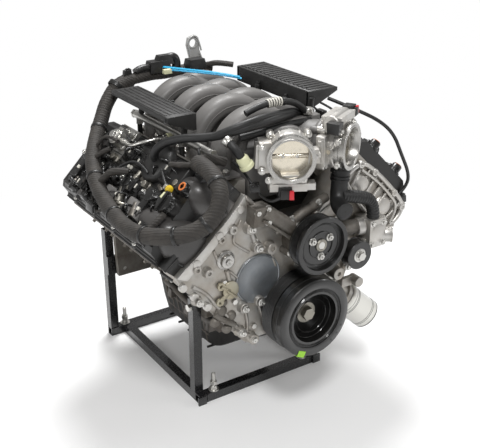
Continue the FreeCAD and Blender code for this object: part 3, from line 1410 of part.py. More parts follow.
def loom_plugs():
    """The loom's plugs: one on each coil, and the others seated on the cam covers."""
    spots = list(PLUGS)
    for side in SIDES.values():
        for number in range(4):
            y = cylinder_y(side, number).value
            spots.append((side, S.coil_width.value / 2 + 16, y, 32, 22, 14))
    plugs = []
    for side, across, along, width, depth, height in spots:
        x = across * side
        block = box(x - width / 2, x + width / 2, along - depth / 2, along + depth / 2,
                    S.cover_top, S.cover_top + height, "plug")
        plugs.append(lean(group(block), side))
    return plugs


def soft_runs():
    node("wiring_loom", group(
        *loom_plugs(),
        made(tube(REAR_LOOM, S.rear_loom_radius.value, 0, "rear_loom")),
        made(tube(MAIN_LOOM, S.loom_radius.value, 0, "main_loom")),
        made(tube(LEFT_LEAD, 4, 0, "left_coil_lead"))))
    node("breather_hoses", group(
        made(tube(VENT_HOSE, S.hose_radius.value, 0, "vent_hose")),
        made(tube(FRONT_HOSE, S.hose_radius.value, 0, "front_hose")),
        made(tube(BREATHER_HOSE, 7, 0, "breather_hose"))))


# ---------------------------------------------------------------- shipping stand

def square_tube(x0, x1, y0, y1, z0, z1, along):
    """A square tube, open at both ends of its long direction."""
    wall = S.stand_wall
    outer = box(x0, x1, y0, y1, z0, z1, "stand_tube")
    inner = [(x0 + wall, x1 - wall), (y0 + wall, y1 - wall), (z0 + wall, z1 - wall)]
    inner["XYZ".index(along)] = [(x0 - 1, x1 + 1), (y0 - 1, y1 + 1),
                                 (z0 - 1, z1 + 1)]["XYZ".index(along)]
    (a, b), (c, d), (e, f) = inner
    return cut(outer, box(a, b, c, d, e, f, "stand_hollow"))


def stand():
    tube_size = S.stand_tube
    low = -S.floor_drop
    top = low + tube_size
    front = -S.stand_front
    rear = Size.of(0) + S.stand_rear
    inner = POST_INNER
    outer = S.stand_half_width
    rails = [square_tube(-outer, outer, front, front + tube_size, low, top, "X"),
             square_tube(-S.rear_rail_half, S.rear_rail_half, rear - tube_size, rear, low,
                         top, "X"),
             square_tube(-outer, -inner, front + tube_size, rear - tube_size, low, top, "Y"),
             square_tube(inner, outer, front + tube_size, rear - tube_size, low, top, "Y")]
    node("stand_rails", group(*rails))
    y0 = front + tube_size
    y1 = y0 + tube_size
    high = -S.front_post_top
    fronts = [square_tube(-outer, -inner, y0, y1, top, high, "Z"),
              square_tube(inner, outer, y0, y1, top, high, "Z")]
    drilled = []
    for side, post in zip((-1, 1), fronts):
        drilled.append(cut(post, rod("+X", S.stud_radius + S.bolt_fit, tube_size + 2,
                                     x=(inner + outer) / 2 * side - tube_size / 2 - 1,
                                     y=FRONT_POST_Y, z=high - 20)))
    wide = S.rear_rail_half
    rears = []
    plates = []
    for side in (-1, 1):
        edge = (wide - tube_size) * side
        first, last = (-wide, edge) if side < 0 else (edge, wide + 0)
        rears.append(square_tube(first, last, rear - tube_size, rear, top,
                                 Size.of(0) + S.rear_post_top, "Z"))
        plates.append(cut(
            box((S.bell_low_bolt_side - 18) * side, wide * side, rear - tube_size - 7,
                rear - tube_size, -S.bell_low_bolt_drop - 22, -S.bell_low_bolt_drop + 30,
                "ear_plate"),
            rod("-Y", S.bell_hole_radius + S.bolt_fit, 40, x=S.bell_low_bolt_side * side,
                y=30, z=-S.bell_low_bolt_drop)))
        spacer = cut(rod("+Y", 11, rear - tube_size - 7, x=S.bell_low_bolt_side * side,
                         y=0, z=-S.bell_low_bolt_drop),
                     rod("+Y", S.bell_hole_radius + S.bolt_fit, 40,
                         x=S.bell_low_bolt_side * side, y=-1, z=-S.bell_low_bolt_drop))
        plates.append(spacer)
    node("stand_posts", group(*drilled, *rears, *plates))


def stand_bolts():
    """Bolts that hold the engine on its stand, and the shipping studs with their nuts."""
    pieces = []
    high = -S.front_post_top
    for side in (-1, 1):
        outer = S.stand_half_width * side
        way = "+X" if side > 0 else "-X"
        back = "-X" if side > 0 else "+X"
        pieces.append(fuse(
            hexagon(way, S.nut_radius, S.nut_height, x=outer, y=FRONT_POST_Y, z=high - 20),
            rod(back, S.stud_radius, S.stand_tube + 12, x=outer, y=FRONT_POST_Y,
                z=high - 20)))
        for stud_x, stud_y in ((S.stand_front_stud * side, S.stand_tube / 2 - S.stand_front),
                               (S.stand_rear_stud * side, S.stand_rear - S.stand_tube / 2)):
            top = S.stand_tube - S.floor_drop
            pieces.append(fuse(
                rod("+Z", S.stud_radius, S.stud_length, x=stud_x, y=stud_y, z=top),
                hexagon("+Z", S.nut_radius, S.nut_height, x=stud_x, y=stud_y,
                        z=top + S.stud_length / 3)))
        x = S.bell_low_bolt_side * side
        z = -S.bell_low_bolt_drop
        pieces.append(fuse(
            hexagon("+Y", S.nut_radius, S.nut_height, x=x, y=S.stand_rear - S.stand_tube,
                    z=z),
            rod("-Y", S.bell_hole_radius - S.bolt_fit, S.stand_rear - S.stand_tube + 12,
                x=x, y=S.stand_rear - S.stand_tube, z=z)))
    return pieces


# ---------------------------------------------------------------- build, check and write

def build():
    engine_block()
    main_bearing_caps()
    crankshaft()
    for side_name, side in SIDES.items():
        for number in range(4):
            piston("piston_%s_%d" % (side_name, number + 1), side, number)
        cylinder_head("cylinder_head_" + side_name, side)
        cam_cover("cam_cover_" + side_name, side)
        camshaft("inlet_camshaft_" + side_name, side, -S.cam_spread)
        camshaft("exhaust_camshaft_" + side_name, side, Size.of(0) + S.cam_spread)
        throttle(side_name, side)
    node("throttle_motors", group(*MOTORS))
    seals_and_gaskets()
    crank_sprocket()
    timing_chains()
    timing_cover()
    damper()
    water_pump()
    oil_pan()
    oil_pickup()
    oil_filter()
    inlet_manifold()
    side, seat = S.rail_side, S.rail_rise + S.rail_radius + 0.3
    trim_cover("trim_cover_right", -140, -212, -70, -335, 422,
               ((-side, -100, seat), (-side, -300, seat)))
    trim_cover("trim_cover_left", 106, 188, -116, -400, 446,
               ((side, -140, seat), (side, -370, seat)))
    ignition_coils()
    fuel_system()
    cam_solenoids()
    filler_cap()
    dipstick()
    coolant_parts()
    lifting_bracket()
    soft_runs()
    stand()
    node("fasteners", group(*cover_bolts(), idler(), *stand_bolts()))


def write_out():
    doc.recompute()
    for obj in doc.Objects:
        if "Invalid" in obj.State or "Error" in obj.State:
            raise RuntimeError("%s (%s) did not build: %s" % (obj.Name, obj.Label, obj.State))
    os.makedirs("parts", exist_ok=True)
    for label, obj in NODES.items():
        shape = obj.Shape
        if shape.isNull() or not shape.isValid() or not shape.Solids:
            raise RuntimeError(label + " has no valid solid")
        shape.exportStep("parts/%s.step" % label)
    print("%d sub-parts written" % len(NODES))


build()
write_out()
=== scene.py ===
import json
import math
import random

import bmesh
import bpy
from mathutils import Matrix, Vector


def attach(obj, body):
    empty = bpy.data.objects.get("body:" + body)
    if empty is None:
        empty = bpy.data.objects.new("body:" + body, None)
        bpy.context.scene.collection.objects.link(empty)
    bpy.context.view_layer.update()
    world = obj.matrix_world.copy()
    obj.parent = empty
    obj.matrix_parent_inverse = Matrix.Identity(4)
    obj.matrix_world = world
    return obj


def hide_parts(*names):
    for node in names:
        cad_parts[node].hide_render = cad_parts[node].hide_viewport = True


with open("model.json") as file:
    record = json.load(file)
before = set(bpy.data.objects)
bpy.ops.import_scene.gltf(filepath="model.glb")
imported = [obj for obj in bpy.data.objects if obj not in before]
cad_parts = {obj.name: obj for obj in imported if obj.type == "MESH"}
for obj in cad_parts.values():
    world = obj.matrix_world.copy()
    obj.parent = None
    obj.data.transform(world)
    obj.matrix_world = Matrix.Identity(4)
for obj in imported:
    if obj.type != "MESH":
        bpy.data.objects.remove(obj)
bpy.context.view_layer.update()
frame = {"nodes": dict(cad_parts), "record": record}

bl_info = {
    "name": "V8 engine on its shipping stand",
    "version": (1, 0, 0),
    "blender": (4, 5, 0),
    "location": "3D View > Sidebar > Engine",
    "description": "Dresses the engine's solids with its castings, looms and finishes",
    "category": "Object",
}

MM = 0.001
SLANT = math.sqrt(0.5)
SIDES = {"right": -1, "left": 1}
SLOT_OF = {item["node"]: item["material_slot"] for item in frame["record"]["subparts"]}
PITCH = 100
FIRST_BORE = {"right": -87, "left": -63}
COVER_TOP = 386
TIMING_FACE = -507
COVER_FACE = -481
FLOOR = -279
PUMP_AXIS = (15.5, 168)
IDLER_AXIS = (127, 113)
PULLEY_FACE = -576
FORWARD = (0, -1, 0)
BACK = (0, 1, 0)
UP = (0, 0, 1)


def bores(side):
    """Where a bank's four cylinders stand along the engine."""
    return [FIRST_BORE[side] - PITCH * number for number in range(4)]


def round_spots(turns, radius, centre=(0.0, 0.0)):
    """Points round a centre in the XZ plane, each turn in degrees from straight up."""
    for turn in turns:
        angle = math.radians(turn)
        yield centre[0] + radius * math.sin(angle), centre[1] + radius * math.cos(angle)


# ------------------------------------------------------------------ shader expressions

class Signal:
    """A shader socket that takes part in sums, so a finish reads as an expression."""

    def __init__(self, nodes, socket):
        self.nodes = nodes
        self.socket = socket

    def _sum(self, operation, first, second):
        return self.nodes.add("ShaderNodeMath", {"operation": operation},
                              {0: first, 1: second})

    def __add__(self, other):
        return self._sum("ADD", self, other)

    def __radd__(self, other):
        return self._sum("ADD", other, self)

    def __sub__(self, other):
        return self._sum("SUBTRACT", self, other)

    def __rsub__(self, other):
        return self._sum("SUBTRACT", other, self)

    def __mul__(self, other):
        return self._sum("MULTIPLY", self, other)

    def __rmul__(self, other):
        return self._sum("MULTIPLY", other, self)

    def over(self, low, high):
        """0 below low, 1 above high, and a smooth rise between."""
        return self.nodes.add("ShaderNodeMapRange",
                              {"interpolation_type": "SMOOTHSTEP"},
                              {"Value": self, "From Min": low, "From Max": high})


class Nodes:
    """A node tree, emptied: nodes are added by type, with settings first and then inputs."""

    def __init__(self, holder):
        holder.use_nodes = True
        self.tree = holder.node_tree
        self.tree.nodes.clear()

    def add(self, kind, settings=None, values=None, output=0):
        node = self.tree.nodes.new(kind)
        for name, value in (settings or {}).items():
            setattr(node, name, value)
        for name, value in (values or {}).items():
            if isinstance(value, Signal):
                self.tree.links.new(value.socket, node.inputs[name])
            else:
                node.inputs[name].default_value = value
        return Signal(self, node.outputs[output]) if len(node.outputs) else None


class Finish(Nodes):
    """One material, with the patterns and mixes that the finishes share."""

    def __init__(self, name):
        self.material = bpy.data.materials.new(name)
        super().__init__(self.material)
        self.place = self.add("ShaderNodeTexCoord", output="Object")

    def noise(self, scale, detail=2.0, rough=0.5, place=None):
        return self.add("ShaderNodeTexNoise", None,
                        {"Vector": place or self.place, "Scale": scale, "Detail": detail,
                         "Roughness": rough})

    def stretched(self, x, y, z):
        return self.add("ShaderNodeVectorMath", {"operation": "MULTIPLY"},
                        {0: self.place, 1: (x, y, z)})

    def mix(self, factor, first, second):
        return self.add("ShaderNodeMix", {"data_type": "RGBA"},
                        {"Factor": factor, 6: first, 7: second}, output=2)

    def rounded(self, radius):
        return self.add("ShaderNodeBevel", {"samples": 4}, {"Radius": radius})

    def worn(self, smooth):
        """1 on rounded edges and 0 on flats, from how far the rounding turns a normal."""
        flat = self.add("ShaderNodeNewGeometry", output="Normal")
        match = self.add("ShaderNodeVectorMath", {"operation": "DOT_PRODUCT"},
                         {0: smooth, 1: flat}, output="Value")
        return (1.0 - match).over(0.015, 0.16)

    def relief(self, height, depth, strength=1.0, normal=None):
        values = {"Height": height, "Distance": depth, "Strength": strength}
        if normal:
            values["Normal"] = normal
        return self.add("ShaderNodeBump", None, values)

    def surface(self, **values):
        fixed = {name.replace("_", " "): value for name, value in values.items()}
        shader = self.add("ShaderNodeBsdfPrincipled", None, fixed)
        self.add("ShaderNodeOutputMaterial", None, {"Surface": shader})
        return self.material


def rgb(colour, gain=1.0):
    """A colour with its alpha, made lighter or darker."""
    return tuple(min(1.0, part * gain) for part in colour[:3]) + (1.0,)


def cast_metal(name, colour, roughness=0.52, grain=0.00016, stain=0.5, metallic=0.72,
               warmth=(1.0, 0.9, 0.78)):
    """Sand-cast or die-cast metal: fine grain, soft stains and rubbed edges."""
    f = Finish(name)
    edge = f.rounded(0.0011)
    cloud = f.noise(22, 5, 0.6)
    stains = f.noise(70, 4, 0.65).over(0.44, 0.72)
    dark = rgb([part * tint * (1 - 0.55 * stain) for part, tint in zip(colour, warmth)])
    body = f.mix(cloud.over(0.3, 0.72) * 0.7 + stains * (0.3 * stain), rgb(colour), dark)
    body = f.mix(f.worn(edge) * 0.5, body, rgb(colour, 1.5))
    sand = f.noise(1500, 2, 0.6)
    lumps = f.noise(260, 3, 0.5)
    return f.surface(Base_Color=body, Metallic=metallic,
                     Roughness=roughness - 0.12 + cloud * 0.18 + stains * 0.1,
                     Normal=f.relief(sand * 0.7 + lumps * 0.5, grain, 0.8, edge))


def bright_metal(name, colour, roughness=0.3, along=(1, 1, 14), metallic=0.95):
    """Turned or brushed metal: fine lines one way and a few dull patches."""
    f = Finish(name)
    edge = f.rounded(0.0006)
    lines = f.noise(900, 2, 0.5, f.stretched(*along))
    dull = f.noise(60, 3, 0.6).over(0.45, 0.75)
    body = f.mix(dull * 0.35, rgb(colour), rgb(colour, 0.72))
    return f.surface(Base_Color=body, Metallic=metallic,
                     Roughness=roughness - 0.05 + lines * 0.1 + dull * 0.12,
                     Normal=f.relief(lines, 0.00002, 0.6, edge))


def moulded(name, colour, roughness=0.45, grain=0.00007, dust=0.35, sheen=0.0, scale=900):
    """Moulded plastic or rubber: fine grain, a little dust and paler edges."""
    f = Finish(name)
    edge = f.rounded(0.0008)
    film = f.noise(45, 4, 0.6).over(0.42, 0.75)
    skin = f.noise(scale, 2, 0.5)
    pale = rgb([part + 0.03 * dust for part in colour])
    body = f.mix(film * dust, rgb(colour), pale)
    body = f.mix(f.worn(edge) * 0.35, body, rgb([part * 1.6 + 0.012 for part in colour]))
    return f.surface(Base_Color=body, Metallic=0.0, Coat_Weight=sheen, Coat_Roughness=0.25,
                     Roughness=roughness - 0.06 + film * 0.16 + skin * 0.06,
                     Normal=f.relief(skin, grain, 0.7, edge))


def painted(name, colour, roughness=0.22, peel=0.00005, wear=0.4):
    """Sprayed paint: a clear coat with orange peel, chipped a little at its edges."""
    f = Finish(name)
    edge = f.rounded(0.0009)
    peel_map = f.noise(320, 2, 0.5)
    chips = f.worn(edge) * f.noise(240, 3, 0.7).over(0.52, 0.62)
    body = f.mix(chips * wear, rgb(colour), (0.35, 0.33, 0.3, 1.0))
    body = f.mix(f.noise(30, 3, 0.5).over(0.5, 0.8) * 0.25, body,
                 rgb([part + 0.02 for part in colour]))
    return f.surface(Base_Color=body, Metallic=0.0, Coat_Weight=0.5, Coat_Roughness=0.1,
                     Roughness=roughness + peel_map * 0.1,
                     Normal=f.relief(peel_map, peel, 0.5, edge))


def wound_tape(name, colour):
    """Cloth tape round a wiring loom: a woven grain with dusty ridges, and dark lines along its
    bands as painted shade in the creases between wraps.
    """
    f = Finish(name)
    weave = f.add("ShaderNodeTexWave", {"wave_type": "BANDS", "bands_direction": "DIAGONAL"},
                  {"Vector": f.place, "Scale": 62.0, "Distortion": 2.0, "Detail": 2.0})
    film = f.noise(38, 4, 0.6).over(0.35, 0.75)
    grain = f.noise(1200, 2, 0.6)
    body = f.mix(film, rgb(colour, 0.72), rgb(colour, 1.3))
    # Dark lines along the wave's bands: painted shade in the creases between the wraps.
    body = f.mix(weave.over(0.75, 1.0) * 0.5, body, rgb(colour, 0.35))
    return f.surface(Base_Color=body, Metallic=0.0, Roughness=0.62 + grain * 0.2,
                     Normal=f.relief(weave * 0.8 + grain * 0.4, 0.0009, 0.8))


FINISHES = {}


def finishes():
    """Every finish by name, made once from the panel's colours."""
    if FINISHES:
        return FINISHES
    c = bpy.context.scene.engine_colours
    made = {
        "cast": cast_metal("cast_aluminium", c.cast, 0.46, stain=0.4),
        "cast_bright": cast_metal("bright_casting", c.cast_bright, 0.42, 0.00010, 0.3, 0.8,
                                  (1.0, 0.96, 0.9)),
        "cast_dark": cast_metal("dark_casting", c.cast_dark, 0.58, stain=0.9, metallic=0.6),
        "cast_cool": cast_metal("cool_casting", (0.34, 0.355, 0.37), 0.4, 0.00006, 0.35, 0.85,
                                (0.9, 0.95, 1.0)),
        "zinc": bright_metal("dull_zinc", (0.30, 0.285, 0.25), 0.42),
        # The dome finish is black plastic lightened to grey: a painted highlight for the gloss on
        # the cam covers' bulges.
        "dome": moulded("cam_cover_dome", (0.050, 0.047, 0.045), 0.36, 0.00005, 0.5, 0.3),
        "cream_metal": cast_metal("passivated_plate", (0.40, 0.385, 0.31), 0.4, 0.00004, 0.2),
        "iron": cast_metal("bearing_cap_iron", (0.16, 0.15, 0.14), 0.6, metallic=0.8),
        "machined": bright_metal("machined_aluminium", c.machined, 0.27),
        "throttle_bore": bright_metal("throttle_bore", (0.78, 0.72, 0.6), 0.2, (1, 14, 1)),
        "steel": bright_metal("zinc_plated_steel", c.steel, 0.3, (6, 6, 6)),
        "brass_steel": bright_metal("passivated_steel", (0.50, 0.45, 0.36), 0.36),
        "dark_steel": bright_metal("crank_steel", (0.2, 0.185, 0.165), 0.4),
        "black": moulded("black_nylon", c.black, 0.4, dust=0.5),
        "black_smooth": moulded("smooth_black_nylon", c.black, 0.26, 0.00003, 0.3, 0.2),
        "cover": moulded("cam_cover_nylon", c.cam_cover, 0.42, 0.00010, 0.6),
        "manifold": moulded("manifold_nylon", c.manifold, 0.5, 0.00005, 0.4, 0.05, 1500),
        "slats": moulded("slatted_trim_nylon", c.trim, 0.5, 0.00006, 0.5),
        "rubber": moulded("rubber_hose", c.rubber, 0.5, 0.00005, 0.5),
        "paint": painted("gloss_black_paint", c.paint),
        "pan": moulded("oil_pan_coating", (0.010, 0.009, 0.008), 0.62, 0.0004, 0.5, scale=300),
        "pulley": painted("pulley_coating", c.pulley, 0.32, 0.00003, 0.25),
        "filter": painted("filter_paint", c.filter_can, 0.25, 0.00002, 0.15),
        "bracket": painted("bracket_zinc", (0.36, 0.36, 0.35), 0.45, 0.00005, 0.5),
        "tape": wound_tape("loom_tape", c.loom),
        "strap": moulded("blue_strap", c.strap, 0.35, 0.00003, 0.1, 0.3),
        "cream": moulded("cream_nylon", (0.62, 0.62, 0.40), 0.4, 0.00003, 0.2),
        "red": moulded("red_lock_tab", (0.55, 0.01, 0.02), 0.35, 0.00002, 0.1, 0.3),
        "yellow": moulded("yellow_knob", (0.75, 0.52, 0.03), 0.4, 0.00002, 0.2),
        "orange": moulded("orange_seal", (0.55, 0.16, 0.04), 0.45, 0.00002, 0.3),
        "white": moulded("white_nylon", (0.6, 0.58, 0.52), 0.45, 0.00003, 0.3),
        "tag": moulded("green_tag", (0.30, 0.62, 0.03), 0.4, 0.00001, 0.1),
        "chain": bright_metal("chain_steel", (0.3, 0.28, 0.25), 0.35),
    }
    FINISHES.update(made)
    return FINISHES


# ------------------------------------------------------------------ mesh making

def bank(side):
    """A bank's own frame: X outwards across the bank, Y along the engine, Z up the bank."""
    s = SIDES[side]
    place = Matrix.Identity(4)
    place.col[0] = (SLANT * s, 0, -SLANT, 0)
    place.col[2] = (SLANT * s, 0, SLANT, 0)
    return place


def at(x, y, z, turn=0.0, axis="Z"):
    """A frame at a point, turned about one axis."""
    return Matrix.Translation((x, y, z)) @ Matrix.Rotation(math.radians(turn), 4, axis)


def along(start, end):
    """A frame at start whose Z runs towards end."""
    way = Vector(end) - Vector(start)
    return Matrix.Translation(start) @ way.to_track_quat("Z", "Y").to_matrix().to_4x4()


def smooth_route(points, step=3.0):
    """Points along a clamped quadratic spline, about step apart."""
    points = [Vector(point) for point in points]
    knots = [points[0]] + [(a + b) / 2 for a, b in zip(points[1:-2], points[2:-1])]
    knots.append(points[-1])
    route = []
    for start, corner, end in zip(knots, points[1:-1], knots[1:]):
        count = max(4, int(((corner - start).length + (end - corner).length) / step))
        for index in range(count):
            t = index / count
            route.append(start * (1 - t) ** 2 + corner * (2 * t * (1 - t)) + end * t * t)
    route.append(points[-1])
    return route


def link(item):
    """Puts an object in the scene and hands it back."""
    bpy.context.scene.collection.objects.link(item)
    return item


HARD_EDGE = 38
SHARP_SHADE = 50
FINISH_SLOT = {
    "cast": "cast_aluminium", "cast_bright": "cast_aluminium", "cast_cool": "cast_aluminium",
    "cast_dark": "cast_aluminium", "steel": "bright_steel", "zinc": "bright_steel",
    "brass_steel": "bright_steel", "dark_steel": "dark_steel",
    "cream_metal": "machined_aluminium", "machined": "machined_aluminium",
    "black": "black_plastic", "black_smooth": "black_plastic", "orange": "black_plastic",
    "yellow": "black_plastic", "red": "black_plastic", "dome": "black_plastic",
    "white": "grey_plastic", "cream": "grey_plastic", "strap": "grey_plastic",
    "manifold": "grey_plastic", "rubber": "dark_rubber", "tag": "dark_rubber",
    "pulley": "dark_steel", "tape": "loom_cover", "paint": "black_paint",
}


class Piece:
    """One piece's mesh, gathered in millimetres in whatever frame is set."""

    def __init__(self, place=None):
        self.mesh = bmesh.new()
        self.place = place or Matrix.Identity(4)

    def faces(self, points, faces):
        """Adds points and the faces between them; a face that is there already is left."""
        made = [self.mesh.verts.new((self.place @ Vector(point)) * MM) for point in points]
        for face in faces:
            try:
                self.mesh.faces.new([made[index] for index in face])
            except ValueError:
                continue
        return self

    def loft(self, rings, caps=True, loop=False):
        """A skin over rings of points, closed by caps or joined back to its first ring."""
        size = len(rings[0])
        points = [point for ring in rings for point in ring]
        faces = []
        pairs = list(range(len(rings) - 1)) + ([len(rings) - 1] if loop else [])
        for row in pairs:
            low, high = row * size, ((row + 1) % len(rings)) * size
            for index in range(size):
                after = (index + 1) % size
                faces.append((low + index, low + after, high + after, high + index))
        if caps and not loop:
            faces.append(tuple(reversed(range(size))))
            faces.append(tuple(range(len(points) - size, len(points))))
        return self.faces(points, faces)

    def block(self, x0, x1, y0, y1, z0, z1, taper=0.0):
        """A box, drawn in by taper on all four sides at z1."""
        return self.loft([[(x0 + t, y0 + t, z), (x1 - t, y0 + t, z), (x1 - t, y1 - t, z),
                           (x0 + t, y1 - t, z)] for z, t in ((z0, 0.0), (z1, taper))])

    def prism(self, outline, low, high, plane="XZ"):
        """A closed outline swept between two levels of the axis it doesn't use."""
        order = {"XZ": lambda a, b, d: (a, d, b), "XY": lambda a, b, d: (a, b, d),
                 "YZ": lambda a, b, d: (d, a, b)}[plane]
        return self.loft([[order(a, b, d) for a, b in outline] for d in (low, high)])

    def spin(self, start, way, profile, sides=40, loop=False):
        """A turned form: profile holds (radius, distance along way) pairs."""
        frame_ = along(start, Vector(start) + Vector(way))
        rings = []
        for radius, distance in profile:
            rings.append([frame_ @ Vector((radius * math.cos(a), radius * math.sin(a),
                                           distance))
                          for a in (2 * math.pi * i / sides for i in range(sides))])
        return self.loft(rings, loop=loop)

    def rod(self, start, end, radius, top=None, sides=24, lip=0.0):
        """A round bar between two points, with a bevelled lip where one is given."""
        length = (Vector(end) - Vector(start)).length
        top = radius if top is None else top
        profile = [(radius, 0), (top, length)]
        if lip:
            profile = [(radius - lip, 0), (radius, lip), (top, length - lip),
                       (top - lip, length)]
        return self.spin(start, Vector(end) - Vector(start), profile, sides)

    def bolt(self, start, way, radius=6.0, height=5.0, washer=1.35):
        """A flanged hexagon head with a dished top."""
        way = Vector(way).normalized()
        start = Vector(start)
        self.spin(start, way, [(radius * washer, 0), (radius * washer, height * 0.2),
                               (radius * 0.98, height * 0.34)], 24)
        return self.spin(start, way, [(radius, height * 0.2), (radius, height * 0.88),
                                      (radius * 0.86, height), (radius * 0.45, height * 0.94),
                                      (radius * 0.3, height * 0.8)], 6)

    def run(self, points, radius, sides=16, step=3.0, ends=True):
        """A tube along a smooth route; radius may be a number or follow (distance, angle)."""
        route = smooth_route(points, step) if len(points) > 2 else [Vector(p) for p in points]
        normal = None
        rings = []
        travelled = 0.0
        for index, spot in enumerate(route):
            before = route[max(index - 1, 0)]
            after = route[min(index + 1, len(route) - 1)]
            way = (after - before).normalized()
            if normal is None:
                normal = way.orthogonal().normalized()
            normal = (normal - way * normal.dot(way)).normalized()
            across = way.cross(normal)
            if index:
                travelled += (spot - route[index - 1]).length
            ring = []
            for number in range(sides):
                angle = 2 * math.pi * number / sides
                size = radius(travelled, angle) if callable(radius) else radius
                ring.append(spot + normal * (size * math.cos(angle))
                            + across * (size * math.sin(angle)))
            rings.append(ring)
        return self.loft(rings, caps=ends)

    def bolts(self, spots, way, radius, height):
        """One bolt at each spot, all facing one way."""
        for spot in spots:
            self.bolt(spot, way, radius, height)
        return self

    def done(self, name, finish, body="engine", edge=0.6, stands_for=(), slot=None, cuts=2):
        """Rounds the hard edges, makes the object and sets it on its body."""
        bmesh.ops.recalc_face_normals(self.mesh, faces=self.mesh.faces)
        if edge:
            hard = [line for line in self.mesh.edges if len(line.link_faces) == 2
                    and line.calc_face_angle(0) > math.radians(HARD_EDGE)]
            bmesh.ops.bevel(self.mesh, geom=hard, offset=edge * MM, segments=cuts,
                            profile=0.6, affect="EDGES", clamp_overlap=True)
        data = bpy.data.meshes.new(name)
        self.mesh.to_mesh(data)
        self.mesh.free()
        data.polygons.foreach_set("use_smooth", [True] * len(data.polygons))
        data.set_sharp_from_angle(angle=math.radians(SHARP_SHADE))
        data.materials.append(finishes()[finish])
        piece = bpy.data.objects.new(name, data)
        link(piece)
        if stands_for:
            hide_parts(*stands_for)
            slot = slot or SLOT_OF[stands_for[0]]
        slot or FINISH_SLOT[finish]
        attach(piece, body)
        return piece


# ------------------------------------------------------------------ stage

WHITE = (1.0, 1.0, 1.0, 1.0)
FLOOR_REACH = 9.0
SOFTBOXES = (("key_softbox", (-1.0, -2.2, 2.7), 58, 0.7),
             ("fill_softbox", (2.4, -1.8, 1.4), 14, 0.8),
             ("top_softbox", (0.5, 0.6, 2.7), 86, 1.1),
             ("side_softbox", (-2.8, -0.2, 1.3), 16, 1.0))
LAMP_AIM = (0, -0.28, 0.1)
CAMERA_PLACE = (-1.021, -1.861, 0.945)
CAMERA_AIM = (-0.0076, -0.300, 0.1197)
CAMERA_ROLL = -0.2


def lay_floor():
    """A pale floor that fades to white away from the object and keeps its shadow."""
    f = Finish("studio_floor")
    seen = (f.add("ShaderNodeLightPath", output="Is Camera Ray")
            + f.add("ShaderNodeLightPath", output="Is Glossy Ray"))
    seen = seen + f.add("ShaderNodeLightPath", output="Is Transmission Ray")
    pale = rgb(bpy.context.scene.engine_colours.floor)
    matt = f.add("ShaderNodeBsdfDiffuse", None, {"Color": pale})
    glow = f.add("ShaderNodeEmission", None, {"Color": WHITE, "Strength": 0.08})
    both = f.add("ShaderNodeAddShader", None, {0: matt, 1: glow})
    spread = f.add("ShaderNodeMapping", None, {"Vector": f.place, "Location": (0, 0.12, 0),
                                               "Scale": (0.5, 0.5, 0)})
    near = f.add("ShaderNodeTexGradient", {"gradient_type": "SPHERICAL"}, {"Vector": spread})
    white = f.add("ShaderNodeEmission", None, {"Color": WHITE, "Strength": 1.0})
    far = f.add("ShaderNodeMixShader", None, {"Fac": (1.0 - near).over(0.36, 0.70), 1: both,
                                              2: white})
    mixed = f.add("ShaderNodeMixShader", None, {"Fac": seen.over(0.0, 1.0), 1: matt, 2: far})
    f.add("ShaderNodeOutputMaterial", None, {"Surface": mixed})
    data = bpy.data.meshes.new("studio_floor")
    corners = [(x * FLOOR_REACH, y * FLOOR_REACH, FLOOR * MM)
               for x, y in ((-1, -1), (1, -1), (1, 1), (-1, 1))]
    data.from_pydata(corners, [], [(0, 1, 2, 3)])
    data.materials.append(f.material)
    link(bpy.data.objects.new("studio_floor", data))


def light_room():
    """An even, dim light from all round, which the camera sees as white."""
    scene = bpy.context.scene
    scene.world = scene.world or bpy.data.worlds.new("studio")
    n = Nodes(scene.world)
    room = n.add("ShaderNodeBackground", None, {"Color": (1.0, 0.99, 0.98, 1.0),
                                                "Strength": scene.engine_sizes.room_light})
    white = n.add("ShaderNodeBackground", None, {"Color": WHITE})
    mix = n.add("ShaderNodeMixShader", None, {
        0: n.add("ShaderNodeLightPath", output="Is Camera Ray"), 1: room, 2: white})
    n.add("ShaderNodeOutputWorld", None, {0: mix})


def place_lamps():
    """Four round softboxes, aimed at the middle of the engine."""
    for name, place, power, size in SOFTBOXES:
        lamp = bpy.data.lights.new(name, "AREA")
        lamp.shape = "DISK"
        lamp.energy = power
        lamp.size = size
        holder = bpy.data.objects.new(name, lamp)
        holder.location = place
        aim = Vector(LAMP_AIM) - Vector(place)
        holder.rotation_euler = aim.to_track_quat("-Z", "Y").to_euler()
        link(holder)


def place_camera():
    """The camera, with a hair of roll, and the plain view transform."""
    lens = bpy.data.cameras.new("studio_camera")
    lens.lens = 64.9
    lens.sensor_width = 36.0
    lens.clip_start = 0.05
    lens.clip_end = 60.0
    camera = bpy.data.objects.new("studio_camera", lens)
    camera.location = CAMERA_PLACE
    aim = Vector(CAMERA_AIM) - Vector(CAMERA_PLACE)
    turn = aim.to_track_quat("-Z", "Y") @ Matrix.Rotation(
        math.radians(CAMERA_ROLL), 3, "Z").to_quaternion()
    camera.rotation_euler = turn.to_euler()
    bpy.context.scene.camera = link(camera)
    bpy.context.scene.view_settings.view_transform = "Standard"


# ------------------------------------------------------------------ carried solids

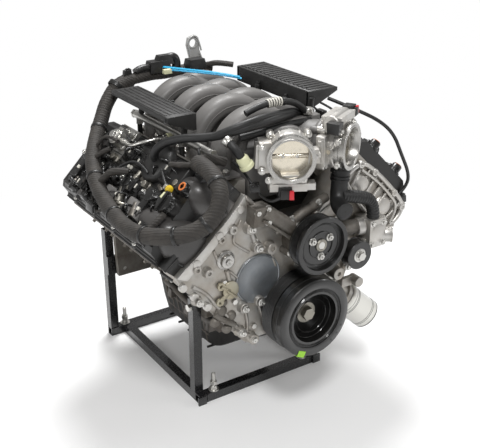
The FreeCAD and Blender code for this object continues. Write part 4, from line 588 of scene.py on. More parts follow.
CARRIED = {
    "engine_block": "cast_dark", "main_bearing_caps": "iron", "crankshaft": "dark_steel",
    "seals_and_gaskets": "dark_steel", "crank_sprocket": "dark_steel",
    "timing_chains": "chain", "timing_cover": "cast", "cylinder_head_left": "cast",
    "cylinder_head_right": "cast", "cam_cover_left": "cover", "cam_cover_right": "cover",
    "inlet_camshaft_left": "dark_steel", "inlet_camshaft_right": "dark_steel",
    "exhaust_camshaft_left": "dark_steel", "exhaust_camshaft_right": "dark_steel",
    "damper_hub": "pulley", "damper_rubber": "rubber", "damper_ring": "pulley",
    "crank_bolt": "zinc", "water_pump_body": "cast_dark",
    "water_pump_pulley": "pulley", "water_pump_shaft": "steel", "idler_pulley": "pulley",
    "oil_pan": "pan", "oil_pickup": "dark_steel", "oil_filter": "filter",
    "oil_filter_adapter": "cast", "inlet_manifold": "manifold",
    "throttle_body_left": "machined", "throttle_body_right": "machined",
    "throttle_plate_left": "throttle_bore", "throttle_plate_right": "throttle_bore",
    "throttle_motors": "cast_bright", "trim_cover_left": "slats",
    "trim_cover_right": "slats", "ignition_coils": "black", "spark_plugs": "steel",
    "fuel_rails": "steel", "fuel_injectors": "black", "fuel_pump": "steel",
    "cam_solenoids": "black", "oil_filler_cap": "black_smooth", "dipstick": "steel",
    "dipstick_tube": "dark_steel", "coolant_elbow": "rubber",
    "thermostat_housing": "cast_bright", "lifting_bracket": "bracket",
    "wiring_loom": "tape", "breather_hoses": "rubber", "stand_rails": "paint",
    "stand_posts": "paint", "fasteners": "steel",
}


def dress_carried():
    """Gives every solid that stays in view its own finish."""
    for name, obj in frame["nodes"].items():
        finish = CARRIED.get(name, "machined" if name.startswith("piston") else "cast")
        obj.data.materials.clear()
        obj.data.materials.append(finishes()[finish])
        for face in obj.data.polygons:
            face.material_index = 0


# ------------------------------------------------------------------ front of the engine

NEAR_EDGE = [(-133, 292), (-150, 272), (-172, 250), (-201, 226), (-229, 200), (-256, 178),
             (-277, 163), (-295, 148)]
NEAR_INNER = [(-131, 270), (-149, 251), (-168, 228), (-197, 203), (-226, 175), (-252, 153),
              (-272, 137)]
TIMING_OUTLINE = [(60, 206), (120, 281), (165, 323), (319, 169), (268, 104), (150, 52),
                  (121, -30), (109, -52), (-109, -52), (-128, -58), (-160, -20), (-200, 30),
                  (-235, 68), (-262, 98), (-286, 126)] + NEAR_EDGE[::-1] + [(-60, 206)]


def timing_casting():
    """The timing cover's casting and near flange, with the cam cover's apron and domes."""
    y = TIMING_FACE
    face = Piece()
    face.prism(TIMING_OUTLINE, -445, y)
    face.spin((0, y + 1, 0), FORWARD, [(58, 0), (56, 4), (50, 5), (48, 3)], 64)
    face.spin((IDLER_AXIS[0], y + 1, IDLER_AXIS[1]), FORWARD,
              [(22, 0), (18, 6), (18, 31), (12, 31.4)], 40)
    face.block(126, 164, y - 14, y + 1, 9, 29, 2)
    face.rod((164, y, 19), (164, y - 30, 19), 12, lip=1)
    face.done("timing_cover_casting", "cast", edge=3.5, cuts=3, stands_for=("timing_cover",))
    band = Piece()
    band.prism(NEAR_EDGE + NEAR_INNER[::-1], y + 2, y - 6)
    for x, z in NEAR_EDGE[1:-1:2] + [(-288, 132), (-262, 104), (-232, 72)]:
        band.rod((x + 6, y + 1, z - 8), (x + 6, y - 9, z - 8), 9, lip=1)
    band.done("timing_cover_flange", "cast_bright", edge=1.2)
    apron = Piece()
    apron.prism(NEAR_EDGE + [(-321, 171), (-165, 325)], -476, -500)
    apron.done("cam_cover_apron", "black", edge=3, slot=SLOT_OF["cam_cover_right"])
    domes = Piece(bank("right"))
    for u, reach, top in ((40, 54, 402), (-58, 46, 400)):
        rings = []
        for y, share in ((-380, 0.96), (-420, 1.0), (-462, 1.0), (-484, 0.94), (-496, 0.80),
                         (-503, 0.55), (-505, 0.1)):
            rings.append([(u + reach * share * math.cos(math.pi * k / 18),
                           y, 300 + (top - 300) * share * math.sin(math.pi * k / 18))
                          for k in range(19)])
        domes.loft(rings)
    # The domes take the grey dome finish: a painted highlight on black plastic.
    domes.done("cam_cover_domes_painted_highlight", "dome", edge=1.5, slot=SLOT_OF["cam_cover_right"])
    webs = Piece()
    for number in range(6):
        x, z = -300 + 26 * number, 142 + 24 * number
        webs.run([(x, -502, z), (x - 10, -497, z + 10), (x - 20, -490, z + 20)], 3.2, 8, 3)
    webs.run([(x - 20, -498, z + 16) for x, z in NEAR_EDGE], 3.6, 10, 4)
    webs.done("cam_cover_apron_webs", "black_smooth", edge=0.4,
              slot=SLOT_OF["cam_cover_right"])


def timing_ribs():
    """Ribs, seams, bosses and plugs over the timing cover's casting."""
    ribs = Piece()
    y = TIMING_FACE
    for route, radius in (
            ([(-258, 118), (-226, 96), (-206, 62), (-172, 20), (-132, -36)], 4.5),
            ([(-60, 206), (-104, 262), (-130, 286)], 4.5),
            ([(-140, 238), (-166, 200), (-146, 178), (-120, 160)], 3.2),
            ([(-206, 186), (-196, 150), (-160, 122), (-150, 108)], 3.2),
            ([(-176, 134), (-170, 110), (-168, 96)], 5.5),
            ([(-70, 160), (-60, 130), (-52, 110)], 3.0),
            ([(-121, 217), (-108, 190), (-103, 169)], 6.0),
            ([(-103, 169), (-84, 158), (-70, 160)], 4.5),
            ([(-137, 36), (-122, 10), (-126, -30)], 4.0),
            ([(-145, -21), (-126, -30), (-116, -51)], 6.0),
            ([(-97, 36), (-88, 0), (-70, -44)], 3.2),
            ([(60, 200), (120, 240), (200, 200), (252, 112)], 3.6),
            ([(66, -20), (96, 20), (140, 40)], 3.4),
            ([(64, -40), (90, -30), (112, -10)], 3.0)):
        ribs.run([(x, y - 1, z) for x, z in route], radius, 10, 6)
    for x, z, radius, depth, hole in (
            (-162, 223, 10, 12, 4), (-189, 207, 9, 10, 3.6), (-249, 156, 9, 12, 4),
            (-223, 142, 10, 14, 4.4), (-121, 217, 13, 16, 5), (-70, 160, 13, 18, 5.5),
            (-103, 169, 12, 14, 4.5), (-97, 40, 12, 12, 4.5), (-137, 36, 12, 14, 5),
            (-145, -21, 11, 16, 4.5), (-116, -46, 12, 18, 5), (-249, 84, 10, 10, 4),
            (106, 55, 15, 27, 5), (140, 60, 10, 10, 4), (90, -30, 9, 9, 3.6)):
        ribs.spin((x, y + 1, z), FORWARD, [(radius + 3, 0), (radius, 4), (radius, depth - 1),
                                           (radius - 1, depth), (hole, depth),
                                           (hole, depth - 5)], 28)
    ribs.done("timing_cover_ribs", "cast", edge=0.5)

    disc = Piece()
    disc.spin((-98, y, 92), FORWARD, [(57, 0), (56, 3.4), (54, 4), (53, 3), (51, 2.4),
                                      (30, 2.8), (0.5, 3)], 72)
    disc.done("timing_cover_disc", "cast_cool", edge=0)

    plug = Piece()
    plug.spin((-179, y, 158), FORWARD, [(21, 0), (21, 4), (15, 6), (15, 14), (13, 15),
                                        (7, 15), (6, 8)], 40)
    plug.bolt((-179, y - 13, 158), FORWARD, 7, 5, 1.0)
    plug.done("timing_cover_plug", "machined")

    lumps = Piece()
    for x, z, size in ((-191, 40, 15), (-166, 22, 13), (-205, 18, 12), (-176, -6, 12),
                       (-184, 60, 9)):
        lumps.spin((x, y + 3, z), FORWARD, [(size, 0), (size * 0.95, 5), (size * 0.6, 10),
                                            (0.5, 11)], 20)
    lumps.run([(-208, y - 4, 40), (-190, y - 8, 20), (-160, y - 6, 2)], 6, 12, 4)
    lumps.done("timing_cover_lumps", "cast_dark", edge=0.8)

    plate = Piece()
    plate.prism([(-170 + 19 * math.cos(a), 88 + 21 * math.sin(a))
                 for a in (2 * math.pi * n / 24 for n in range(24))], y - 5, y - 9)
    for x, z in ((-193, 102), (-196, 66)):
        plate.spin((x, y - 3, z), FORWARD, [(9, 0), (9, 5.5), (4, 5.6), (4, 1)], 24)
        plate.run([(x, y - 6, z), (-172, y - 6, 86)], 5.0, 8)
    plate.run([(-182, y - 11, 92), (-158, y - 11, 70)], 3.0, 8)
    plate.done("cream_blanking_plate", "cream_metal")

    Piece().bolts([(x, y - 15, z) for x, z in (
        (-97, 40), (-137, 36), (-145, -21), (-116, -46), (-249, 84), (-121, 217),
        (-103, 169), (62, -30), (92, 10), (140, 60))], FORWARD, 6.4, 7).done(
            "timing_cover_bolts", "steel")


def far_lobe():
    """The left bank's fan-shaped front, with its flange lines and ribs between them."""
    fan = Piece(bank("left"))
    y = TIMING_FACE
    arc = [(-104, 296), (-98, 336), (-40, 344), (40, 344), (98, 338), (106, 296), (92, 262)]
    fan.run([(u, y - 5, n) for u, n in arc], 5.5, 10, 5)
    fan.run([(u * 0.84, y - 9, n - 14) for u, n in arc[1:-1]], 3.4, 8, 5)
    low = [(-108, 282), (-60, 268), (0, 262), (60, 262), (104, 276)]
    fan.run([(u, y - 6, n) for u, n in low], 5.0, 10, 5)
    for number in range(7):
        u = -84 + 28 * number
        fan.run([(u * 0.82, y - 2, 268), (u * 0.95, y - 7, 304), (u, y - 3, 338)], 3.0, 8, 6)
    for u, n in ((-92, 330), (-44, 340), (44, 340), (92, 330), (98, 282)):
        fan.spin((u, y, n), FORWARD, [(9, 0), (8, 12), (4, 12.4), (4, 8)], 24)
    for u, n, size in ((-52, 302, 20), (46, 302, 22)):
        fan.spin((u, y + 1, n), FORWARD, [(size + 5, 0), (size, 6), (size * 0.7, 9), (0.5, 10)],
                 36)
    fan.done("timing_fan", "cast_bright", edge=0.4)


def damper_details():
    """Belt ribs, a face ring, balance holes drawn as dark discs of painted shade, and a bare green
    tag on the damper.
    """
    ring = Piece()
    ring.spin((0, -585.9, 0), FORWARD, [(90, 0), (89.4, 0.5), (72, 0.5), (71, 0)], 96, True)
    ring.done("damper_face_ring", "pulley", "crank", edge=0)
    ribs = Piece()
    for number in range(7):
        ribs.spin((0, -514 - 5.2 * number, 0), FORWARD, [(90, 0), (92.4, 1.7), (90, 3.4)], 96,
                  True)
    for radius, y in ((66.5, -585.6), (64.0, -585.2), (52, -572), (40, -571)):
        ribs.spin((0, y, 0), FORWARD, [(radius, 0), (radius - 0.8, 1.0), (radius - 1.6, 0)],
                  96, True)
    ribs.done("damper_belt_ribs", "pulley", "crank", edge=0)
    # Dark discs on the face stand for the balance holes: painted shade, not drilled holes.
    holes = Piece()
    for x, z in round_spots((118, 132, 146, 300), 82):
        holes.rod((x, -586.2, z), (x, -586.8, z), 2.2, sides=16)
    holes.done("damper_balance_hole_shade", "rubber", "crank", edge=0)
    tag = Piece(at(0, 0, 0, 205, "Y"))
    tag.block(-10, 10, -587.4, -586.3, 78, 91)
    tag.block(-10, 10, -587.4, -576, 91, 92.2)
    tag.done("damper_tag", "tag", "crank", edge=0)


def pulley_details():
    """The pump pulley's rings, hub and bolts, and the idler's face and bolt cap."""
    x, z = PUMP_AXIS
    rings = Piece()
    for radius, y, thick in ((63.4, -584.6, 1.6), (58.5, -584.2, 1.2), (48, -576.4, 1.2),
                             (46, -576.8, 1.0), (30, -577.2, 1.0)):
        rings.run([(x + radius * math.cos(a), y, z + radius * math.sin(a))
                   for a in (2 * math.pi * n / 48 for n in range(49))], thick, 8, 6,
                  ends=False)
    rings.done("pump_pulley_rings", "pulley", "water_pump", edge=0, slot="black_paint")
    hub = Piece()
    hub.spin((x, PULLEY_FACE, z), FORWARD, [(14, 0), (14, 3), (12.5, 4.5), (9, 4.5), (8.2, 3),
                                            (3.4, 3), (3.0, 1)], 36)
    hub.done("pump_pulley_hub", "zinc", "water_pump", edge=0.3)
    Piece().bolts([(bx, PULLEY_FACE, bz) for bx, bz in
                   round_spots((60, 180, 300), 26, PUMP_AXIS)], FORWARD, 6.6, 7.5).done(
                       "pump_pulley_bolts", "steel", "water_pump", edge=0.3)
    x, z = IDLER_AXIS
    face = Piece()
    face.spin((x, -572, z), FORWARD, [(29, 0), (28, 3), (24, 4), (22, 1), (17, 1), (17, -2)],
              56)
    face.done("idler_face", "pulley", "idler", edge=0.3)
    cap = Piece()
    cap.spin((x, -572, z), FORWARD, [(16, 0), (16, 3), (14, 4), (10.5, 4), (10.5, 2)], 36)
    cap.bolt((x, PULLEY_FACE, z), FORWARD, 8.0, 7)
    cap.done("idler_bolt_cap", "steel", edge=0.3)


def pump_details():
    """Ribs and bolts over the water pump's dark casting."""
    (x, z), y = PUMP_AXIS, TIMING_FACE
    ribs = Piece()
    turns = (20, 58, 95, 132, 170, 208, 245, 282, 320)
    for near, far in zip(round_spots(turns, 22, PUMP_AXIS), round_spots(turns, 51, PUMP_AXIS)):
        ribs.run([(near[0], y - 35, near[1]), (far[0], y - 33, far[1])], 2.6, 8)
    ribs.spin((x, y - 30, z), FORWARD, [(52, 0), (51, 4.5), (30, 6), (26, 16), (24, 30)], 56)
    for near, far in (((-14, 186), (-100, 252)), ((-22, 170), (-108, 240))):
        ribs.run([(near[0], y - 34, near[1]), (far[0], y - 34, far[1])], 3.0, 8)
    ribs.block(-128, -84, y - 1, y - 30, 226, 268, 3)
    ribs.run([(-60, y - 8, 196), (-30, y - 22, 214), (20, y - 20, 236), (70, y - 12, 246)], 11,
             16, 6)
    ribs.done("water_pump_ribs", "cast_dark")
    Piece().bolts(
        [(bx, y - 28, bz) for bx, bz in round_spots((20, 95, 170, 245, 320), 54, PUMP_AXIS)]
        + [(bx, y - 29, bz) for bx, bz in ((-118, 258), (-94, 262), (-92, 232))]
        + [(bx, y - 24, bz) for bx, bz in ((40, 244), (-30, 222))], FORWARD, 6, 7).done(
            "water_pump_bolts", "steel", edge=0.3)


def coolant_details():
    """The black coolant elbow, its ribbed branch and the aluminium thermostat housing."""
    elbow = Piece()
    elbow.run([(75, -578, 230), (79, -552, 233), (90, -536, 248), (97, -530, 278),
               (99, -529, 308)], 18.3, 32, 3, ends=False)
    for start, end, radius in (
            ((75, -578, 230), (75.6, -574, 230.5), 20), ((98, -529.6, 300), (99, -529, 308), 22),
            ((97.2, -530, 282), (97.6, -529.9, 286), 21),
            ((97.7, -529.8, 289), (98.1, -529.7, 293), 21)):
        elbow.run([start, end], radius, 32)
    elbow.done("coolant_elbow_hose", "rubber", edge=0.8, slot="black_plastic",
               stands_for=("coolant_elbow",))
    shade = Piece()
    shade.spin((75.2, -577, 230), (-4, -26, -3), [(14.5, 0), (14.5, 1.3), (2, 1.4), (1.5, 0.4)],
               32)
    shade.done("coolant_mouth_shade", "rubber", edge=0)
    branch = Piece()
    branch.run([(90, -545, 252), (130, -549, 244), (184, -546, 222), (184, -546, 178.2)],
               lambda s, a: 13.6 + 0.9 * math.sin(s * 2 * math.pi / 7.5), 28, 1.4)
    branch.done("coolant_branch_hose", "rubber", edge=0, slot="black_plastic")
    housing = Piece()
    housing.block(164, 210, -507, -562, 113, 180)
    housing.spin((188, -556, 148), FORWARD, [(22, 0), (21, 6), (16, 8), (0.5, 9)], 36)
    housing.run([(166, -534, 160), (150, -530, 160)], 20, 28)
    housing.spin((200, -531, 132), (0.8, -0.6, 0), [
        (22, 0), (22, 14), (19, 16), (19, 40), (20.5, 42), (19.5, 44), (16, 44), (16, 20)], 36)
    housing.block(206, 222, -520, -545, 160, 176, 2)
    housing.block(158, 170, -520, -548, 116, 132, 2)
    housing.done("thermostat_casting", "cast_bright", edge=2.2, cuts=3, slot="cast_aluminium",
                 stands_for=("thermostat_housing",))
    Piece().bolts([(x, -561, z) for x, z in ((172, 172), (204, 170), (172, 121), (203, 121))],
                  FORWARD, 5.5, 6).done("thermostat_bolts", "steel", edge=0.3)


def filter_details():
    """The oil filter's can, its seal and the rolled rings round it."""
    way = Vector((0.70, -0.25, -0.66)).normalized()
    base = Vector((172, -474, -50))
    can = Piece()
    can.spin(base, way, [(36, 0), (38.2, 2), (38.2, 9), (36.8, 11), (36.8, 76), (36, 80),
                         (32, 85), (26, 87), (10, 87.5), (0.5, 87.5)], 64)
    can.done("oil_filter_can", "filter", edge=0, slot="white_paint", stands_for=("oil_filter",))
    rings = Piece()
    rings.spin(base - way * 3, way, [(33, 0), (33, 3.2), (30, 3.3), (30, 0)], 56, True)
    rings.spin(base + way * 9.4, way, [(37.5, 0), (37.6, 1.4), (36.7, 1.5)], 56)
    rings.spin(base + way * 78.6, way, [(36.9, 0), (36.8, 1.6), (35.7, 1.7)], 56)
    for reach in (16, 19, 62, 66):
        rings.spin(base + way * reach, way, [(36.7, 0), (37.0, 0.3), (37.0, 1.1), (36.7, 1.4)], 56)
    rings.done("oil_filter_rings", "rubber", edge=0)


# ------------------------------------------------------------------ inlet side

THROTTLES = {"right": (-55, -29), "left": (100, 29)}
MOUTH_Y, MOUTH_Z = -562, 365


def throttle_frame(side):
    """A throttle's own frame: Y back into the manifold, X along its spindle."""
    spot, yaw = THROTTLES[side]
    return at(spot, MOUTH_Y, MOUTH_Z, yaw)


RUNNER_REACH = 86
RUNNER_THICK = 21.5
RUNNER_HALF = 23
RUNNER_SWELL = 4
QUARTERS = (45, 135, 225, 315)


def arch(side, y, turns):
    """Rings of a flattened runner, from its foot over the top and down to the plenum."""
    s = SIDES[side]
    rings = []
    for step in turns:
        angle = math.radians(min(max(step, 0), 180))
        drop = -min(step, 0) * 0.5 + max(step - 180, 0) * 0.5
        bulge = math.sin(angle)
        half = RUNNER_HALF + RUNNER_SWELL * bulge
        ring = []
        for number in range(28):
            turn = 2 * math.pi * number / 28
            c, d = math.cos(turn), math.sin(turn)
            reach = RUNNER_REACH + RUNNER_THICK * math.copysign(abs(c) ** 0.8, c)
            ring.append((s * (27 + reach * math.cos(angle)),
                         y + half * math.copysign(abs(d) ** 0.8, d),
                         326 - drop + reach * math.sin(angle)))
        rings.append(ring)
    return rings


def manifold_details():
    """The moulded inlet manifold: eight arched runners over a plenum and an inlet box."""
    runners = Piece()
    for side in SIDES:
        for y in bores(side):
            runners.loft(arch(side, y, list(range(-56, 0, 14)) + list(range(0, 181, 6)) + [208]))
    runners.done("inlet_runners", "manifold", edge=0, slot=SLOT_OF["inlet_manifold"])
    box = Piece()
    box.block(-84, 84, -447, -37, 244, 333, 3)
    box.block(-54, 94, -467, -421, 307, 413, 3)
    box.block(-40, 80, -463, -380, 390, 408, 6)
    for side in SIDES:
        s = SIDES[side]
        box.block(91 * s, 133 * s, -433, -44, 296, 305)
        box.place = throttle_frame(side)
        box.spin((0, 62, 0), BACK, [(40, 0), (51, 0), (51, 9), (46, 12), (45, 52)], 48)
        for x, z in round_spots(QUARTERS, 52):
            box.rod((x, 62, z), (x, 78, z), 8)
        box.place = Matrix.Identity(4)
    box.done("inlet_manifold_body", "manifold", edge=4, cuts=3,
             stands_for=("inlet_manifold",))
    seams = Piece()
    for side in SIDES:
        s = SIDES[side]
        for y in bores(side):
            for edge in (-1, 1):
                route = []
                for step in range(10, 171, 10):
                    angle = math.radians(step)
                    half = RUNNER_HALF + RUNNER_SWELL * math.sin(angle)
                    route.append((s * (27 + 88 * math.cos(angle)), y + edge * (half + 0.2),
                                  326 + 88 * math.sin(angle)))
                seams.run(route, 1.5, 6, 8)
            for offset in (-34, 34):
                seams.rod((121 * s, y + offset * 0.98, 303), (121 * s, y + offset * 0.98, 312),
                          8)
    for x in range(-40, 90, 26):
        seams.block(x - 1.6, x + 1.6, -469.5, -464, 316, 406)
    seams.done("inlet_manifold_seams", "manifold", edge=0.4, slot=SLOT_OF["inlet_manifold"])
    Piece().bolts([(121 * SIDES[side], y + offset, 311) for side in SIDES
                   for y in bores(side) for offset in (-33, 33)], UP, 6, 6).done(
                       "inlet_manifold_bolts", "steel", edge=0.3)
    clip = Piece()
    clip.block(-62, -44, -462, -438, 392, 412, 1.5)
    clip.block(-58, -48, -468, -460, 398, 420, 1)
    clip.block(-57, -49, -452, -444, 412, 424, 1)
    clip.rod((-120, -196, 398), (-120, -196, 412), 5)
    clip.block(-128, -112, -204, -188, 392, 401, 1)
    clip.done("manifold_sensor_plugs", "black")


def throttle_details():
    """Rims, gear housings, flanges, bolts and plugs of the two throttle bodies."""
    for side in SIDES:
        lift = 1 if side == "left" else -1
        place = throttle_frame(side)
        rim = Piece(place)
        rim.spin((0, -0.2, 0), BACK, [(40.6, 0.6), (42, -0.6), (44.6, -0.6), (46, 1),
                                      (46, 24), (46.9, 25), (46.9, 28), (40.2, 28)],
                 72, True)
        rim.spin((0, 5, 0), BACK, [(46, 0), (47.6, 1), (47.6, 4), (46, 5)], 72, True)
        rim.spin((0, 14, 0), BACK, [(46, 0), (47.6, 0.6), (47.6, 10), (46, 10.8)], 64, True)
        rim.done("throttle_rim_" + side, "machined", edge=0)
        case = Piece(place)
        case.spin((0, 25, 0), BACK, [(46, 0), (49, 3), (50, 24), (46, 27)], 56, True)
        start = 34 if side == "left" else 14
        case.block(-66, -36, start, 57, -30, 33, 2)
        case.block(-72, -60, start + 4, 52, -22, 26, 3)
        case.block(36, 60, 20, 46, -15, 15, 2)
        case.block(-40, 34, 12, 54, 36 * lift, 62 * lift, 1)
        case.rod((-44, 32, 54 * lift), (32, 32, 54 * lift), 19, sides=36, lip=2)
        corners = ((-58, 26), (-58, -24), (-44, 44 * lift), (26, 44 * lift))
        for x, z in corners:
            case.rod((x, 13, z), (x, 8, z), 8)
        turns = (25, 70, 110, 155, 205, 250, 290, 335)
        for near, far in zip(round_spots(turns, 46), round_spots(turns, 50)):
            case.run([(near[0], 26, near[1]), (far[0], 52, far[1])], 2.4, 8)
        for x, z in round_spots(QUARTERS, 54):
            case.rod((x, 46, z), (x, 62, z), 8.5)
        case.done("throttle_housing_" + side, "cast_bright", edge=2.0, cuts=3)
        bolts = Piece(place)
        bolts.bolts([(x, 46, z) for x, z in round_spots(QUARTERS, 54)], FORWARD, 5.6, 6.5)
        bolts.bolts([(x, 8.5, z) for x, z in corners], FORWARD, 4.6, 4.5)
        bolts.rod((50, 31, 0), (62, 31, 0), 7, lip=1)
        bolts.done("throttle_bolts_" + side, "steel", edge=0.3)
        plug = Piece(place)
        tab = Piece(place)
        if side == "left":
            plug.block(-64, -40, 6, 34, 64, 40, 1.5)
            plug.block(30, 56, 14, 40, 50, 76, 2)
            plug.block(36, 50, 8, 16, 56, 72, 1)
            tab.block(44, 54, 9, 15, 58, 74, 0.5)
        else:
            plug.block(-26, 4, 4, 30, -84, -60, 1.5)
            plug.block(-22, 0, -4, 6, -82, -64, 1)
            plug.run([(-10, 4, -74), (-30, -2, -84), (-48, 10, -90), (-62, 30, -80)], 3.2, 8)
            tab.block(-4, 6, -6, 3, -82, -64, 0.5)
        plug.done("throttle_plug_" + side, "black")
        tab.done("throttle_plug_tab_" + side, "red")
    for side in SIDES:
        rod = Piece(throttle_frame(side))
        for x in (-14, 14):
            rod.spin((x, 27.2, 0), FORWARD, [(3.6, 0), (3.6, 1.4), (2.6, 2.2), (0.4, 2.2)], 20)
        rod.rod((-39, 29.0, 0), (39, 29.0, 0), 3.0, sides=20)
        rod.done("throttle_spindle_" + side, "steel", side + "_throttle", edge=0)


def trim_details():
    """The two dark trim covers: grooved on the near bank, slatted on the far one."""
    near = Piece()
    near.prism([(-210, 410), (-210, 420), (-208, 421.5), (-142, 421.5), (-140, 420),
                (-140, 388), (-148, 388), (-148, 410)], -335, -70)
    near.prism([(-210, 408), (-210, 421), (-140, 421), (-140, 384), (-150, 384)], -337, -328)
    for number in range(6):
        x = -204 + 11.6 * number
        near.block(x - 3.0, x + 3.0, -322, -82, 420, 423, 0.6)
    for y in (-100, -300):
        near.rod((-150, y, 363.5), (-150, y, 411), 7)
    near.done("trim_cover_near", "slats", edge=1.0, stands_for=("trim_cover_right",))
    far = Piece()
    far.prism([(106, 408), (106, 443), (108, 444.5), (184, 444.5), (186, 443), (186, 434),
               (114, 434), (114, 408)], -400, -114)
    far.prism([(106, 404), (106, 444), (186, 444), (186, 436), (115, 404)], -402, -393)
    far.prism([(106, 408), (106, 444), (186, 444), (186, 436), (115, 408)], -122, -114)
    for number in range(17):
        y = -386 + 16.2 * number
        far.block(112, 180, y - 5.6, y + 5.6, 443.5, 446.8, 0.8)
    for y in (-120, -350):
        far.rod((150, y, 363.5), (150, y, 434), 7)
    far.done("trim_cover_far", "slats", edge=1.0, stands_for=("trim_cover_left",))
    clips = Piece()
    for x, y, z in ((112, -212, 412), (112, -322, 408)):
        clips.block(x - 16, x - 6, y - 8, y + 8, z - 26, z + 8, 1)
        clips.rod((x - 10, y, z), (x - 10, y, z + 14), 3.4)
    clips.rod((112, -400, 402), (112, -404, 432), 7, lip=1)
    clips.rod((112, -400, 392), (112, -400, 404), 10, lip=1)
    clips.done("trim_clips", "black")


# ------------------------------------------------------------------ what sits on the banks

def cover_details():
    """Bulges, rails, bosses and bolts over the two cam covers."""
    for side in SIDES:
        rear = -10 if side == "left" else -34
        ribs = Piece(bank(side))
        ribs.block(-104, 104, COVER_FACE + 2, rear - 2, 352, 358, 2)
        for u in (-104, 104):
            ribs.run([(u, COVER_FACE + 6, 349), (u, -250, 349), (u, rear - 6, 349)], 4.6, 10, 40)
        ribs.block(-92, -30, -452, rear - 14, 380, 394, 8)
        ribs.block(30, 92, -452, rear - 14, 380, 392, 8)
        for y in bores(side):
            ribs.block(-27, 27, y - 38, y + 38, 382, 388.6, 3)
            ribs.block(-98, -30, y - 50, y - 44, 352, 391, 2)
            ribs.block(30, 98, y - 50, y - 44, 352, 390, 2)
            for u in (-97, 97):
                ribs.spin((u, y, 351), UP, [(11, 0), (10, 8), (9, 9), (5, 9)], 24)
        for u in (-60, -40, 40, 60, 80):
            ribs.block(u - 1.6, u + 1.6, -446, rear - 20, 390, 395.5, 0.5)
        ribs.done("cam_cover_ribs_" + side, "cover", edge=1.6, slot=SLOT_OF["cam_cover_left"])
        Piece(bank(side)).bolts([(u, y, 359) for y in bores(side) for u in (-97, 97)],
                                UP, 5.2, 6).done("cam_cover_bolts_" + side, "steel", edge=0.3)
    dome = Piece(bank("right"))
    dome.spin((-66, -330, 386), UP, [(46, 0), (44, 12), (38, 18), (20, 21), (0.5, 22)],
              48)
    dome.block(-96, -34, -450, -392, 388, 402, 4)
    dome.done("cam_cover_dome", "cover", edge=2, slot=SLOT_OF["cam_cover_right"])
    pads = Piece(bank("right"))
    pads.block(26, 66, -300, -228, 388, 400, 3)
    pads.block(20, 60, -400, -330, 388, 401, 3)
    pads.run([(30, -300, 404), (34, -260, 406), (58, -262, 404), (60, -300, 404)], 2.0, 8)
    pads.done("cam_cover_pads", "manifold", edge=1.5)


def coil_details():
    """Ignition coils with their plugs and short leads."""
    coils = Piece()
    tabs = Piece()
    for side in SIDES:
        coils.place = bank(side)
        tabs.place = bank(side)
        for y in bores(side):
            coils.block(-18, 18, y - 27, y + 27, 386, 398.5, 1.5)
            coils.spin((0, y, 397), UP, [(15, 0), (14, 6), (12.5, 8), (4, 8.4)], 32)
            coils.block(-12, 12, y - 20, y + 20, 398, 401, 1)
            coils.block(-9, 9, y + 26, y + 40, 387, 396, 1)
            coils.block(10, 38, y - 13, y + 13, 388, 403, 2)
            coils.block(34, 52, y - 9, y + 9, 389, 401, 1.5)
            coils.run([(50, y, 395), (64, y + 4, 396), (74, y + 20, 392)], 3.2, 10)
            tabs.block(32, 40, y - 5, y + 5, 402, 405.5, 0.4)
    coils.done("coil_packs", "black_smooth", edge=0.9, stands_for=("ignition_coils",))
    tabs.done("coil_tabs", "white", edge=0.3)
    bolts = Piece()
    for side in SIDES:
        bolts.place = bank(side)
        bolts.bolts([(0, y + 33, 396) for y in bores(side)], UP, 4.6, 5)
    bolts.done("coil_bolts", "steel", edge=0.3)


def solenoid_details():
    """Cam timing solenoids with their seals, plugs and sensor heads."""
    heads = Piece()
    seal = Piece()
    for side in SIDES:
        for item in (heads, seal):
            item.place = bank(side)
        for u in (-50, 50):
            heads.spin((u, -468, 384), UP, [(15, 0), (15, 5), (12, 6), (12, 20), (10.5, 22),
                                            (4, 22)], 32)
            heads.block(u - 7, u + 7, -474, -448, 390, 402, 1)
            heads.block(u - 9, u + 9, -456, -434, 388, 400, 1.5)
            seal.spin((u, -468, 406), UP, [(9.5, 0), (9.5, 1.2), (6, 1.6), (6, 0)], 28)
    heads.done("cam_solenoid_heads", "black_smooth", edge=0.6, stands_for=("cam_solenoids",))
    seal.done("cam_solenoid_seals", "orange", edge=0)


def filler_details():
    """The oil filler's cap and neck, and the dipstick's pull."""
    place = bank("right")
    cap = Piece(place)
    rings = []
    for radius, height in ((21, 402), (22.3, 403.5), (22.3, 414), (21, 417), (16, 418),
                           (0.6, 418.4)):
        ring = []
        for number in range(72):
            angle = 2 * math.pi * number / 72
            grip = 1 + (0.03 * math.cos(angle * 18) if 403 < height < 415 else 0)
            ring.append((-5 + radius * grip * math.cos(angle),
                         -461 + radius * grip * math.sin(angle), height))
        rings.append(ring)
    cap.loft(rings)
    cap.prism([(-26, -464.5), (16, -464.5), (16, -457.5), (-26, -457.5)], 417, 423, "XY")
    cap.done("oil_filler_cap_grip", "black_smooth", "filler_cap", edge=0.5,
             stands_for=("oil_filler_cap",))
    band = Piece(place)
    band.prism([(-24, -457), (-6, -457), (-8, -444), (-20, -446)], 416.5, 418.8, "XY")
    band.done("oil_filler_cap_mark", "cream", "filler_cap", edge=0.3, slot="black_plastic")
    neck = Piece(place)
    neck.spin((-5, -461, 384), UP, [(21, 0), (19, 4), (18, 17.6)], 40)
    neck.done("oil_filler_neck", "cover", edge=0.4, slot="black_plastic")
    pull = Piece(place)
    pull.spin((-31, -439.5, 403), UP, [(7.5, 0), (8.2, 2), (8.2, 9), (6.5, 12),
                                       (5, 15), (0.5, 15.4)], 28)
    pull.done("dipstick_pull", "yellow", "dipstick_rod", edge=0)


